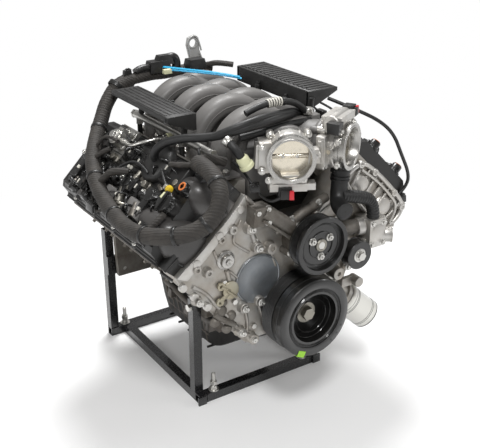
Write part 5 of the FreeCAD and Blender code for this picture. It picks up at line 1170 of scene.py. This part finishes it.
def fuel_details():
    """The steel fuel pipe's nuts and collar, the rails' ends and the pump's head."""
    nuts = Piece()
    collar = Piece()
    nuts.run([(-243.2, -202, 336.6), (-243.2, -212, 336.6)], 6.5, 6)
    nuts.run([(-182, -262, 354), (-174, -262, 354)], 6.0, 16)
    nuts.run([(-205, -259, 352.5), (-199, -260.2, 353)], 5.4, 16)
    for s, rear in ((-1, -61), (1, -37)):
        for y in (-10, -362):
            nuts.run([(150 * s, rear + y + 10, 354), (150 * s, rear + y + 2, 354)], 10.6, 6)
    nuts.done("fuel_pipe_nuts", "steel", edge=0.4)
    collar.run([(-172, -262, 354), (-162, -262, 354)], 8.2, 24)
    collar.done("fuel_pipe_collar", "cream")
    head = Piece(bank("right"))
    head.spin((-66, -172, 424), UP, [(16, 0), (16, 5), (9, 6), (8, 12), (0.5, 12.5)], 32)
    head.spin((-66, -172, 395), UP, [(19.4, 0), (20.6, 1.5), (20.6, 5), (19.4, 6.5)], 36)
    head.block(-92, -78, -182, -162, 404, 424, 2)
    head.bolts([(-94, y, 395) for y in (-190, -154)], UP, 5, 6)
    head.done("fuel_pump_head", "steel")


# ------------------------------------------------------------------ looms and hoses

REAR_LOOM = [(84, -23.6, 426), (24, -23.2, 431), (-38, -23.8, 427), (-96, -26, 431),
             (-140, -31, 427)]
MAIN_LOOM = [(-140, -31, 427), (-175.2, -35, 423.8), (-212, -44, 388), (-240, -66, 349),
             (-274, -104, 317), (-305, -152, 292), (-330, -228, 261), (-342, -322, 237),
             (-353, -420, 236), (-344, -492, 245), (-303, -548, 257), (-262, -570, 274),
             (-234, -572, 303), (-222, -566, 334), (-217, -534, 356), (-213, -494, 362),
             (-212, -462, 361)]
LEFT_LEAD = [(146, -418, 428), (186, -462, 408), (236, -492, 380), (274, -499, 344),
             (301, -499, 292), (334, -494, 238), (338, -488, 204), (316, -485.3, 186)]
PLUGS = [("right", 0, -132, 26, 18, 14), ("right", 0, -232, 24, 18, 16),
         ("right", 0, -332, 26, 18, 14), ("right", 62, -135, 26, 30, 16),
         ("right", 66, -236, 24, 34, 14), ("right", 60, -338, 28, 26, 18),
         ("right", 58, -428, 22, 26, 14), ("right", -60, -100, 24, 30, 16),
         ("right", -56, -240, 26, 28, 18), ("right", -66, -390, 26, 30, 16),
         ("right", -48, -284, 22, 26, 14), ("left", 0, -110, 24, 18, 14),
         ("left", 0, -210, 24, 18, 16), ("left", 0, -310, 24, 18, 14),
         ("left", 62, -112, 24, 30, 16), ("left", 60, -214, 26, 28, 16),
         ("left", 62, -316, 24, 30, 18), ("left", -60, -200, 26, 30, 16)]
VENT_HOSE = [(-226.1, -330, 320.1), (-244, -330, 338), (-240, -346, 370),
             (-214, -388, 393), (-172, -450, 403), (-128, -482, 420), (-66, -488, 427),
             (-6, -472, 425.4), (36, -446, 422.2)]
FRONT_HOSE = [(-155, -477.1, 404.5), (-152, -494, 396), (-144, -504, 382),
              (-134, -507, 366)]
BREATHER_HOSE = [(-92, -452, 440), (-62, -454, 452), (-14, -457, 456), (34, -461, 446),
                 (60, -460, 418.3)]


def taped(radius, turn=11.0, step=0.45):
    """A radius along a loom: overlapping turns of tape, each with a small step."""
    def size(distance, angle):
        wind = (distance / turn + angle / (2 * math.pi)) % 1.0
        lump = 0.5 * math.sin(distance * 0.045) + 0.3 * math.sin(distance * 0.11 + angle)
        return radius - step + step * wind + lump * radius * 0.03
    return size


def loom_details():
    """The taped looms with their branches, clips and plugs."""
    looms = Piece()
    looms.run(MAIN_LOOM, taped(17.4), 28, 2.2)
    looms.run(REAR_LOOM, taped(13.6), 24, 2.4)
    looms.done("wiring_loom_trunk", "tape", edge=0, stands_for=("wiring_loom",))
    limbs = Piece()
    branches = (
        ([(-330, -228, 261), (-312, -250, 296), (-296, -262, 300), (-276, -280, 300)], 8),
        ([(-346, -470, 243), (-322, -480, 262), (-298, -474, 276)], 7),
        ([(-305, -152, 292), (-290, -176, 318), (-274, -186, 324)], 6),
        ([(-290, -128, 305), (-272, -140, 338), (-262, -168, 346), (-262, -202, 344)], 4),
        ([(-340, -300, 243), (-356, -288, 226), (-352, -250, 222), (-336, -214, 232)], 3.2),
        ([(-262, -570, 274), (-236, -548, 268), (-206, -536, 282)], 5),
        ([(-213, -470, 361), (-196, -452, 366), (-170, -446, 358), (-142, -452, 346)], 10),
        ([(-212, -466, 360), (-232, -436, 352), (-240, -400, 346)], 6),
        ([(60, -24, 428), (74, -40, 440), (96, -60, 442), (118, -78, 438)], 7))
    for route, radius in branches:
        limbs.run(route, taped(radius, 7, 0.3), 16, 2.4)
    limbs.done("wiring_loom_branches", "tape", edge=0)
    leads = Piece()
    leads.run(LEFT_LEAD, 4, 12, 3)
    for route in (
            [(-290, -250, 300), (-270, -262, 318), (-256, -300, 322), (-262, -340, 312)],
            [(-250, -380, 330), (-262, -410, 322), (-268, -438, 310), (-272, -462, 300)],
            [(-196, -444, 366), (-186, -420, 372), (-170, -398, 366), (-158, -380, 360)],
            [(-258, -118, 326), (-240, -130, 352), (-226, -168, 350), (-232, -206, 338)],
            [(-136, -470, 352), (-122, -486, 336), (-118, -508, 318), (-112, -520, 300)],
            [(180, -150, 414), (214, -190, 384), (248, -220, 356), (268, -240, 330)],
            [(214, -250, 384), (236, -290, 372), (262, -330, 346), (286, -360, 318)]):
        leads.run(route, 2.8, 10, 3)
    leads.done("sensor_leads", "rubber", edge=0, slot="loom_cover")
    plugs = Piece()
    latches = Piece()
    for side, u, y, w, d, h in PLUGS:
        for piece in (plugs, latches):
            piece.place = bank(side) @ at(u, y, COVER_TOP)
        plugs.block(-w / 2, w / 2, -d / 2, d / 2, 0, h, 1)
        plugs.block(-w / 2 + 3, w / 2 - 3, -d / 2 - 7, -d / 2 + 1, 2, h - 2, 1)
        plugs.block(-w / 4, w / 4, -d / 3, d / 3, h - 0.5, h + 3, 0.6)
        plugs.run([(0, -d / 2 - 5, h / 2), (4, -d / 2 - 16, h / 2 + 4),
                   (14, -d / 2 - 24, h / 2 + 2)], 3.6, 10, 2.5)
        latches.block(-w / 5, w / 5, d / 3 - 4, d / 3, h + 2, h + 4.4, 0.3)
    plugs.place = Matrix.Identity(4)
    for x, y, z, w, d, h, turn in (
            (-354, -250, 226, 16, 34, 18, 0), (-206, -534, 288, 20, 16, 22, 20),
            (-112, -514, 306, 22, 18, 16, -29), (316, -489, 178, 26, 14, 20, 0),
            (268, -244, 330, 16, 30, 18, 0), (250, -120, 366, 16, 16, 34, 0),
            (276, -180, 344, 14, 14, 40, 0)):
        plugs.place = at(x, y, z, turn)
        plugs.block(-w / 2, w / 2, -d / 2, d / 2, -h / 2, h / 2, 1)
        plugs.block(-w / 2 + 3, w / 2 - 3, -d / 2 - 6, -d / 2 + 1, -h / 2 + 2, h / 2 - 2, 1)
    plugs.done("loom_plugs", "black_smooth", edge=0.7)
    latches.done("loom_plug_latches", "white", edge=0.3)
    clips = Piece()
    trunk = smooth_route(MAIN_LOOM, 2.2)
    for index in (70, 140, 205, 268, 300, 330, 372):
        spot = trunk[min(index, len(trunk) - 4)]
        way = (trunk[min(index + 3, len(trunk) - 1)] - spot).normalized()
        clips.spin(spot, way, [(18.2, 0), (18.9, 1), (18.9, 7), (18.2, 8)], 32, True)
    clips.spin((-178, -36, 423), (-1, -0.2, -0.8), [(18.4, 0), (19.3, 1), (19.3, 11),
                                                     (18.4, 12)], 32, True)
    for x, y, z in ((-150, -34, 452), (-118, -30, 452), (-96, -30, 448)):
        clips.block(x - 10, x + 10, y - 6, y + 6, z - 12, z, 1)
        clips.run([(x - 8, y, z - 4), (x, y, z + 8), (x + 10, y, z - 2)], 2.6, 8)
    clips.done("loom_clips", "black", edge=0.4)


def clutter_details():
    """Connectors, clips, pipes and short leads crowded over both cam covers."""
    choose = random.Random(23)
    finish_of = {"black_smooth": Piece(), "dark_steel": Piece(), "zinc": Piece(),
                 "white": Piece(), "dome": Piece()}
    for side, count in (("right", 74), ("left", 40)):
        place = bank(side)
        for number in range(count):
            u = choose.uniform(-84, 84)
            y = choose.uniform(-448, -84)
            turn = choose.choice((0, 15, -20, 35, 60, 90))
            size = choose.uniform(6, 13)
            # The grey dome finish among these is black plastic with a painted highlight.
            finish = choose.choice(("black_smooth", "black_smooth", "black_smooth",
                                    "dark_steel", "zinc", "white", "dome"))
            if finish == "white":
                size *= 0.5
            p = finish_of[finish]
            p.place = place @ at(u, y, COVER_TOP - 2, turn)
            kind = choose.randrange(4)
            if kind == 0:
                p.block(-size, size, -size * 0.7, size * 0.7, 0, size * 1.5, 1)
                p.block(-size * 0.6, size * 0.6, -size * 1.6, -size * 0.6, 2, size, 0.6)
            elif kind == 1:
                p.spin((0, 0, 0), UP, [(size, 0), (size, size * 0.8),
                                       (size * 0.7, size), (size * 0.7, size * 1.9),
                                       (size * 0.4, size * 2)], 24)
            elif kind == 2:
                p.spin((0, -size * 1.6, size), BACK,
                       [(size * 0.5, 0), (size * 0.8, 2), (size * 0.8, size * 1.6),
                        (size * 0.6, size * 1.8), (size * 0.6, size * 3)], 24)
            else:
                p.run([(-size, 0, 1), (-size * 0.4, 0, size * 1.4), (size, 4, size * 1.7),
                       (size * 2, 6, size * 0.4)], size * 0.36, 10, 4)
    for finish, p in finish_of.items():
        slot = {"white": "grey_plastic", "dark_steel": "dark_steel",
                "zinc": "bright_steel"}.get(finish, "black_plastic")
        p.done("cover_clutter_" + finish, finish, edge=0.5, slot=slot)
    leads = Piece()
    brown = Piece()
    for side, count in (("right", 30), ("left", 16)):
        for number in range(count):
            p = brown if number % 5 == 0 else leads
            p.place = bank(side)
            u, y = choose.uniform(-80, 70), choose.uniform(-430, -110)
            du, dy = choose.uniform(-40, 40), choose.uniform(-50, 50)
            top = choose.uniform(14, 34)
            p.run([(u, y, COVER_TOP), (u + du * 0.2, y + dy * 0.3, COVER_TOP + top),
                   (u + du * 0.7, y + dy * 0.7, COVER_TOP + top * 0.9),
                   (u + du, y + dy, COVER_TOP)], choose.uniform(1.6, 3.4), 8, 4)
    leads.done("cover_leads", "black_smooth", edge=0)
    brown.done("cover_leads_brown", "tape", edge=0, slot="black_plastic")


def hose_details():
    """The vent, front and breather hoses with their fittings and a convoluted part."""
    hoses = Piece()
    hoses.run(VENT_HOSE, 9, 24, 3)
    hoses.run(FRONT_HOSE, 9, 24, 3)
    hoses.run(BREATHER_HOSE, lambda s, a: 7 + (1.6 * abs(math.sin(s * math.pi / 6.0))
                                               if 52 < s < 96 else 0), 24, 1.5)
    hoses.run([(-172, -450, 404), (-140, -478, 424), (-100, -486, 434), (-60, -480, 436),
               (-10, -468, 432), (30, -452, 428), (70, -440, 412)], 7.5, 20, 3)
    hoses.run([(-118, -470, 398), (-70, -478, 404), (0, -476, 408), (60, -470, 404)], 8, 20, 3)
    hoses.done("vent_hoses", "rubber", edge=0, stands_for=("breather_hoses",))
    clips = Piece()
    for start, way in (((-226, -331, 320), (-18, 0, 18)), ((-156, -480, 403), (4, -16, -8)),
                       ((60, -460, 428), (0, 0, -10))):
        clips.spin(start, way, [(10.5, -2), (11.2, 0), (11.2, 9), (10.4, 11)], 28)
    clips.done("hose_clips", "steel", edge=0.2)
    fitting = along((-136, -507, 368), (-116, -512, 336))
    collar = Piece(fitting)
    collar.spin((0, 0, -6), UP, [(10.5, 0), (13, 4), (13, 18), (15.5, 20), (15.5, 27),
                                 (14, 28)], 32)
    collar.done("cream_hose_fitting", "cream", edge=0.4)
    # Three dark discs on the fitting's face stand for its holes: painted shade.
    holes = Piece(fitting)
    for b, a in round_spots((90, 210, 330), 7):
        holes.rod((a, b, 21.6), (a, b, 22.6), 3.3)
    holes.done("hose_fitting_hole_shade", "rubber", edge=0)
    sleeve = Piece()
    route = smooth_route(BREATHER_HOSE, 1.5)
    for index in range(34, 58, 4):
        spot = route[index]
        sleeve.spin(spot, route[index + 1] - spot, [(8.4, 0), (9.6, 1), (9.6, 3), (8.4, 4)],
                    28, True)
    sleeve.done("convoluted_sleeve", "white", edge=0)


def strap_details():
    """Blue tie straps and the black harness boxes behind the runners."""
    straps = Piece()
    for route in ([(-66, -30, 449), (-20, -90, 447), (34, -150, 444), (70, -182, 436)],
                  [(-44, -44, 440), (10, -110, 439), (50, -160, 437), (74, -184, 432)]):
        straps.run(route, lambda s, a: 0.8 + 1.8 * abs(math.cos(a)), 10, 3)
    straps.done("blue_straps", "strap", edge=0)
    boxes = Piece()
    boxes.block(-92, -34, -44, -6, 436, 462, 5)
    boxes.block(-70, -26, -40, -12, 452, 474, 6)
    boxes.run([(-40, -24, 462), (-22, -26, 470), (-12, -28, 450), (-18, -30, 436)], 11, 20)
    boxes.block(6, 54, -60, -24, 436, 458, 4)
    boxes.run([(-92, -28, 448), (-108, -28, 452), (-128, -30, 442)], 9, 16)
    boxes.done("rear_harness_boxes", "black", edge=2.5, cuts=3)
    green = Piece()
    green.block(-70, -50, -72, -58, 438, 448, 1)
    green.done("harness_plug_green", "cream")


# ------------------------------------------------------------------ heads, block and pan

def head_details():
    """Casting ribs, plugs, port flanges and exhaust studs along the heads' sides."""
    for side in SIDES:
        rear = -34 if side == "left" else -58
        ribs = Piece(bank(side))
        ribs.run([(108, -440, 236), (108, -250, 236), (108, rear, 236)], 4, 8, 60)
        ribs.run([(108, -440, 338), (108, -250, 338), (108, rear, 338)], 4, 8, 60)
        for y in bores(side):
            ribs.block(100, 112, y - 30, y + 30, 238, 276, 4)
            for offset in (-40, 40):
                ribs.rod((107, y + offset * 0.8, 300), (113, y + offset * 0.8, 300), 9)
            ribs.block(104, 110, y - 3, y + 3, 280, 336, 1)
            ribs.block(104, 110, y - 44, y - 39, 240, 338, 1)
        # The right, near bank's ribs take the darker iron finish though both heads are the same
        # aluminium casting: painted shade on that head's downward-facing side.
        finish = "cast" if side == "left" else "iron"
        ribs.done("head_ribs_" + side, finish, edge=1.5, slot="cast_aluminium")
        studs = Piece(bank(side))
        for y in bores(side):
            for offset in (-34, 34):
                studs.rod((110, y + offset, 262), (122, y + offset, 262), 4)
                studs.bolt((111, y + offset, 262), (1, 0, 0), 6, 5)
            for offset in (-32, 32):
                studs.rod((112, y + offset, 300), (114, y + offset, 300), 6)
        # The studs take the dark steel finish though they are bright steel: painted shade along
        # the heads' downward-facing sides.
        studs.done("exhaust_studs_" + side, "dark_steel", edge=0.3, slot="bright_steel")


def block_details():
    """Ribs, core plugs and bosses on the cylinder block."""
    ribs = Piece()
    for side in SIDES:
        s = SIDES[side]
        ribs.place = Matrix.Identity(4)
        for y in range(-440, -20, 60):
            ribs.run([(118 * s, y, -44), (124 * s, y, 10), (128 * s, y, 60)], 4.2, 8, 12)
        ribs.run([(122 * s, -444, -30), (122 * s, -240, -30), (122 * s, -20, -30)], 5, 8, 60)
        ribs.run([(124 * s, -444, 40), (124 * s, -240, 40), (124 * s, -20, 40)], 5, 8, 60)
        ribs.place = bank(side)
        for y in bores(side):
            ribs.spin((84, y, 170), (1, 0, -0.2), [(27, 0), (26, 10), (22, 10), (22, 6), (0.5, 5)],
                      36)
            ribs.block(60, 96, y - 49, y - 43, 120, 224, 3)
        ribs.run([(100, -440, 222), (100, -240, 222), (100, -30, 222)], 5, 8, 60)
    ribs.place = Matrix.Identity(4)
    ribs.done("block_ribs", "cast_dark", edge=1.2, slot="block_aluminium")
    plugs = Piece()
    for side in SIDES:
        plugs.place = bank(side)
        for y in bores(side):
            plugs.spin((92, y, 170), (1, 0, -0.2), [(20, 0), (20, 1), (17, 1.4), (14, -1),
                                                    (0.5, -1.2)], 36)
    plugs.done("core_plugs", "brass_steel", edge=0)
    lower = Piece()
    for side in SIDES:
        s = SIDES[side]
        lower.block(96 * s, 128 * s, -440, -360, -46, -24, 3)
        lower.rod((126 * s, -300, 8), (150 * s, -300, 8), 15, 12, sides=28, lip=1)
        lower.rod((126 * s, -200, 8), (146 * s, -200, 8), 13, 12, sides=28, lip=1)
        lower.rod((122 * s, -120, -10), (142 * s, -120, -10), 9, sides=24, lip=1)
    lower.done("block_bosses", "cast", edge=1.0, slot="block_aluminium")


def pan_details():
    """The oil pan's tub, with its fins, folds, bolts and drain plug."""
    folds = Piece()
    tub = Piece()
    rings = []
    for z, half, front, rear in ((-51, 124, -500, -14), (-57, 124, -500, -14),
                                 (-58, 111, -494, -18), (-72, 108, -486, -20),
                                 (-84, 104, -440, -24), (-104, 100, -360, -30),
                                 (-150, 95, -326, -40), (-186, 90, -312, -52),
                                 (-198, 80, -298, -66), (-199, 60, -270, -90)):
        ring = []
        for number in range(56):
            angle = 2 * math.pi * (number + 0.5) / 56
            c, d = math.cos(angle), math.sin(angle)
            ring.append((half * math.copysign(abs(c) ** 0.28, c),
                         (front + rear) / 2 + (rear - front) / 2
                         * math.copysign(abs(d) ** 0.28, d), z))
        rings.append(ring)
    tub.loft(rings)
    tub.done("oil_pan_tub", "pan", edge=0, stands_for=("oil_pan",))
    fins = Piece()
    for side in (-1, 1):
        for number in range(8):
            y = -276 + 26 * number
            fins.run([(106 * side, y, -62), (101 * side, y + 2, -104), (94 * side, y, -150),
                      (86 * side, y, -186)], 3.4, 8, 3)
        for z, reach in ((-92, 101), (-128, 97), (-160, 92)):
            fins.run([(reach * side, -288, z), (reach * side, -190, z + 3),
                      (reach * side, -84, z)], 2.6, 8, 4)
    fins.run([(-116, -420, -40), (-128, -400, -64), (-122, -340, -88), (-118, -240, -84),
              (-120, -130, -70)], 9, 12, 4)
    for y, z in ((-396, -70), (-352, -92), (-250, -96), (-170, -84)):
        fins.block(-134, -108, y - 9, y + 9, z - 12, z + 10, 2)
    fins.done("oil_pan_fins", "iron", edge=0.5, slot=SLOT_OF["oil_pan"])
    for s in (-1, 1):
        folds.run([(119 * s, -440, -56), (119 * s, -230, -56), (119 * s, -20, -56)], 4, 8, 60)
    for y in range(-280, -40, 48):
        folds.run([(-92, y, -199), (0, y, -201), (92, y, -199)], 3.2, 8, 10)
    folds.done("oil_pan_folds", "pan", slot=SLOT_OF["oil_pan"])
    bolts = Piece()
    for s in (-1, 1):
        for y in range(-430, -20, 45):
            bolts.bolt((119 * s, y, -58), (0, 0, -1), 5.4, 5)
    bolts.bolt((30, -290, -202), (0, 0, -1), 9, 6)
    bolts.done("oil_pan_bolts", "steel", edge=0.3)


def stand_details():
    """Welds, plates and threaded studs on the shipping stand."""
    welds = Piece()
    for s in (-1, 1):
        for x, ends in ((164, (-359, -337)), (203, (19, 41))):
            for y in ends:
                welds.run([((x - 11) * s, y, -257), ((x + 11) * s, y, -257)], 2.4, 8)
        for y in (-381, -359):
            welds.run([(153 * s, y, FLOOR + 1), (153 * s, y, -258)], 2.2, 8)
        welds.block(158 * s, 180 * s, -386, -381, FLOOR, -257)
    welds.done("stand_welds", "paint", edge=0.4)
    studs = Piece()
    for x, y in ((-130, -370), (130, -370), (-168, 30), (168, 30)):
        studs.spin((x, y, -256.8), UP, [(13, 0), (13, 2), (7, 2.2)], 28)
        studs.bolt((x, y, -254.8), UP, 8.6, 9, 1.0)
        rings = [(4.6 if n % 2 else 5.2, -246 + n * 1.4) for n in range(26)]
        studs.spin((x, y, 0), UP, rings + [(0.5, -246 + 26 * 1.4)], 18)
    studs.done("stand_studs", "steel", edge=0)


def bracket_details():
    """Pressed beads and bolts on the lifting bracket."""
    beads = Piece()
    rim = [(66, -12, 468), (58, -12, 500), (46, -12, 508), (28, -12, 498), (30, -12, 482),
           (48, -12, 404)]
    beads.run(rim, 2.2, 8, 4)
    beads.run([(62, -12, 462), (92, -12, 384), (120, -12, 306)], 2.0, 8, 10)
    beads.spin((44, -3, 488), FORWARD, [(14, 0), (14, 8), (10.4, 8.4), (10.4, -0.4)], 36, True)
    beads.done("lifting_bracket_beads", "bracket", edge=0.3, slot=SLOT_OF["lifting_bracket"])
    Piece().bolts([(118, -10, 288), (102, -10, 316)], FORWARD, 8, 7).done(
        "lifting_bracket_bolts", "steel", edge=0.3)


# ------------------------------------------------------------------ panel and operators

def colour(name, text, value):
    return bpy.props.FloatVectorProperty(name=name, description=text, default=value, size=3,
                                         min=0.0, max=1.0, subtype="COLOR")


class EngineSizes(bpy.types.PropertyGroup):
    """Sizes that the stage reads."""
    room_light: bpy.props.FloatProperty(
        name="Room light", description="Strength of the light from all round", default=0.32,
        min=0.0, max=3.0)


class EngineColours(bpy.types.PropertyGroup):
    """Colours that the finishes start from."""
    cast: colour("Castings", "Sand-cast aluminium", (0.42, 0.41, 0.39))
    cast_bright: colour("Bright castings", "Die-cast aluminium", (0.56, 0.55, 0.53))
    cast_dark: colour("Dark castings", "Stained aluminium", (0.20, 0.188, 0.17))
    machined: colour("Machined", "Turned aluminium", (0.46, 0.45, 0.43))
    steel: colour("Steel", "Plated bolts and nuts", (0.62, 0.61, 0.58))
    black: colour("Black plastic", "Nylon plugs and coils", (0.010, 0.0098, 0.0095))
    cam_cover: colour("Cam covers", "Composite cam covers", (0.013, 0.0125, 0.012))
    manifold: colour("Manifold", "Nylon inlet manifold", (0.135, 0.130, 0.125))
    trim: colour("Trim", "Slatted trim covers", (0.016, 0.0155, 0.015))
    rubber: colour("Rubber", "Hoses", (0.010, 0.010, 0.010))
    paint: colour("Paint", "The stand", (0.010, 0.010, 0.011))
    pulley: colour("Pulleys", "Coated pulleys and damper", (0.006, 0.0058, 0.0055))
    filter_can: colour("Filter", "The oil filter's can", (0.78, 0.77, 0.72))
    loom: colour("Loom", "Cloth tape", (0.034, 0.030, 0.026))
    strap: colour("Straps", "Blue tie straps", (0.02, 0.36, 0.62))
    floor: colour("Floor", "The studio floor", (0.86, 0.86, 0.86))


class EngineStep:
    """Runs its steps in order; anything that goes wrong is raised."""
    bl_options = {"REGISTER", "UNDO"}
    steps = ()

    def execute(self, context):
        for step in self.steps:
            step()
        return {"FINISHED"}


class ENGINE_OT_stage(EngineStep, bpy.types.Operator):
    """Floor, lamps and camera"""
    bl_idname = "engine.stage"
    bl_label = "Stage"
    steps = (lay_floor, light_room, place_lamps, place_camera)


class ENGINE_OT_solids(EngineStep, bpy.types.Operator):
    """Finishes on the engine's solids"""
    bl_idname = "engine.solids"
    bl_label = "Solids' finishes"
    steps = (dress_carried,)


class ENGINE_OT_front(EngineStep, bpy.types.Operator):
    """Timing cover with its ribs, and the left bank's front"""
    bl_idname = "engine.front"
    bl_label = "Timing cover"
    steps = (timing_casting, timing_ribs, far_lobe)


class ENGINE_OT_pulleys(EngineStep, bpy.types.Operator):
    """Damper, pump pulley and idler"""
    bl_idname = "engine.pulleys"
    bl_label = "Pulleys"
    steps = (damper_details, pulley_details)


class ENGINE_OT_coolant(EngineStep, bpy.types.Operator):
    """Water pump, coolant elbow and thermostat housing"""
    bl_idname = "engine.coolant"
    bl_label = "Coolant parts"
    steps = (pump_details, coolant_details)


class ENGINE_OT_oil(EngineStep, bpy.types.Operator):
    """Oil filter and oil pan"""
    bl_idname = "engine.oil"
    bl_label = "Oil parts"
    steps = (filter_details, pan_details)


class ENGINE_OT_manifold(EngineStep, bpy.types.Operator):
    """Inlet manifold with its runners"""
    bl_idname = "engine.manifold"
    bl_label = "Inlet manifold"
    steps = (manifold_details,)


class ENGINE_OT_throttles(EngineStep, bpy.types.Operator):
    """Both throttle bodies"""
    bl_idname = "engine.throttles"
    bl_label = "Throttles"
    steps = (throttle_details,)


class ENGINE_OT_trims(EngineStep, bpy.types.Operator):
    """Both trim covers"""
    bl_idname = "engine.trims"
    bl_label = "Trim covers"
    steps = (trim_details,)


class ENGINE_OT_banks(EngineStep, bpy.types.Operator):
    """Cam covers, coils, solenoids, filler and dipstick"""
    bl_idname = "engine.banks"
    bl_label = "Cam covers and coils"
    steps = (cover_details, coil_details, solenoid_details, filler_details)


class ENGINE_OT_fuel(EngineStep, bpy.types.Operator):
    """Fuel pipe, rails' ends and pump head"""
    bl_idname = "engine.fuel"
    bl_label = "Fuel parts"
    steps = (fuel_details,)


class ENGINE_OT_looms(EngineStep, bpy.types.Operator):
    """Wiring looms, leads, plugs and straps"""
    bl_idname = "engine.looms"
    bl_label = "Looms"
    steps = (loom_details, strap_details, clutter_details)


class ENGINE_OT_hoses(EngineStep, bpy.types.Operator):
    """Vent and breather hoses"""
    bl_idname = "engine.hoses"
    bl_label = "Hoses"
    steps = (hose_details,)


class ENGINE_OT_castings(EngineStep, bpy.types.Operator):
    """Heads and block"""
    bl_idname = "engine.castings"
    bl_label = "Heads and block"
    steps = (head_details, block_details)


class ENGINE_OT_stand(EngineStep, bpy.types.Operator):
    """Shipping stand and lifting bracket"""
    bl_idname = "engine.stand"
    bl_label = "Stand and bracket"
    steps = (stand_details, bracket_details)


OPERATORS = (ENGINE_OT_stage, ENGINE_OT_solids, ENGINE_OT_front, ENGINE_OT_pulleys,
             ENGINE_OT_coolant, ENGINE_OT_oil, ENGINE_OT_manifold, ENGINE_OT_throttles,
             ENGINE_OT_trims, ENGINE_OT_banks, ENGINE_OT_fuel, ENGINE_OT_looms,
             ENGINE_OT_hoses, ENGINE_OT_castings, ENGINE_OT_stand)


class ENGINE_PT_panel(bpy.types.Panel):
    """Sizes, colours and the steps that build the engine"""
    bl_label = "V8 engine"
    bl_idname = "ENGINE_PT_panel"
    bl_space_type = "VIEW_3D"
    bl_region_type = "UI"
    bl_category = "Engine"

    def draw(self, context):
        for group in (context.scene.engine_sizes, context.scene.engine_colours):
            for name in group.__annotations__:
                self.layout.prop(group, name)
        for operator in OPERATORS:
            self.layout.operator(operator.bl_idname)


CLASSES = (EngineSizes, EngineColours) + OPERATORS + (ENGINE_PT_panel,)


def register():
    for item in CLASSES:
        bpy.utils.register_class(item)
    bpy.types.Scene.engine_sizes = bpy.props.PointerProperty(type=EngineSizes)
    bpy.types.Scene.engine_colours = bpy.props.PointerProperty(type=EngineColours)


def unregister():
    del bpy.types.Scene.engine_colours
    del bpy.types.Scene.engine_sizes
    for item in reversed(CLASSES):
        bpy.utils.unregister_class(item)


def main():
    register()
    for operator in OPERATORS:
        getattr(bpy.ops.engine, operator.bl_idname.split(".")[1])()


if __name__ == "__main__":
    main()
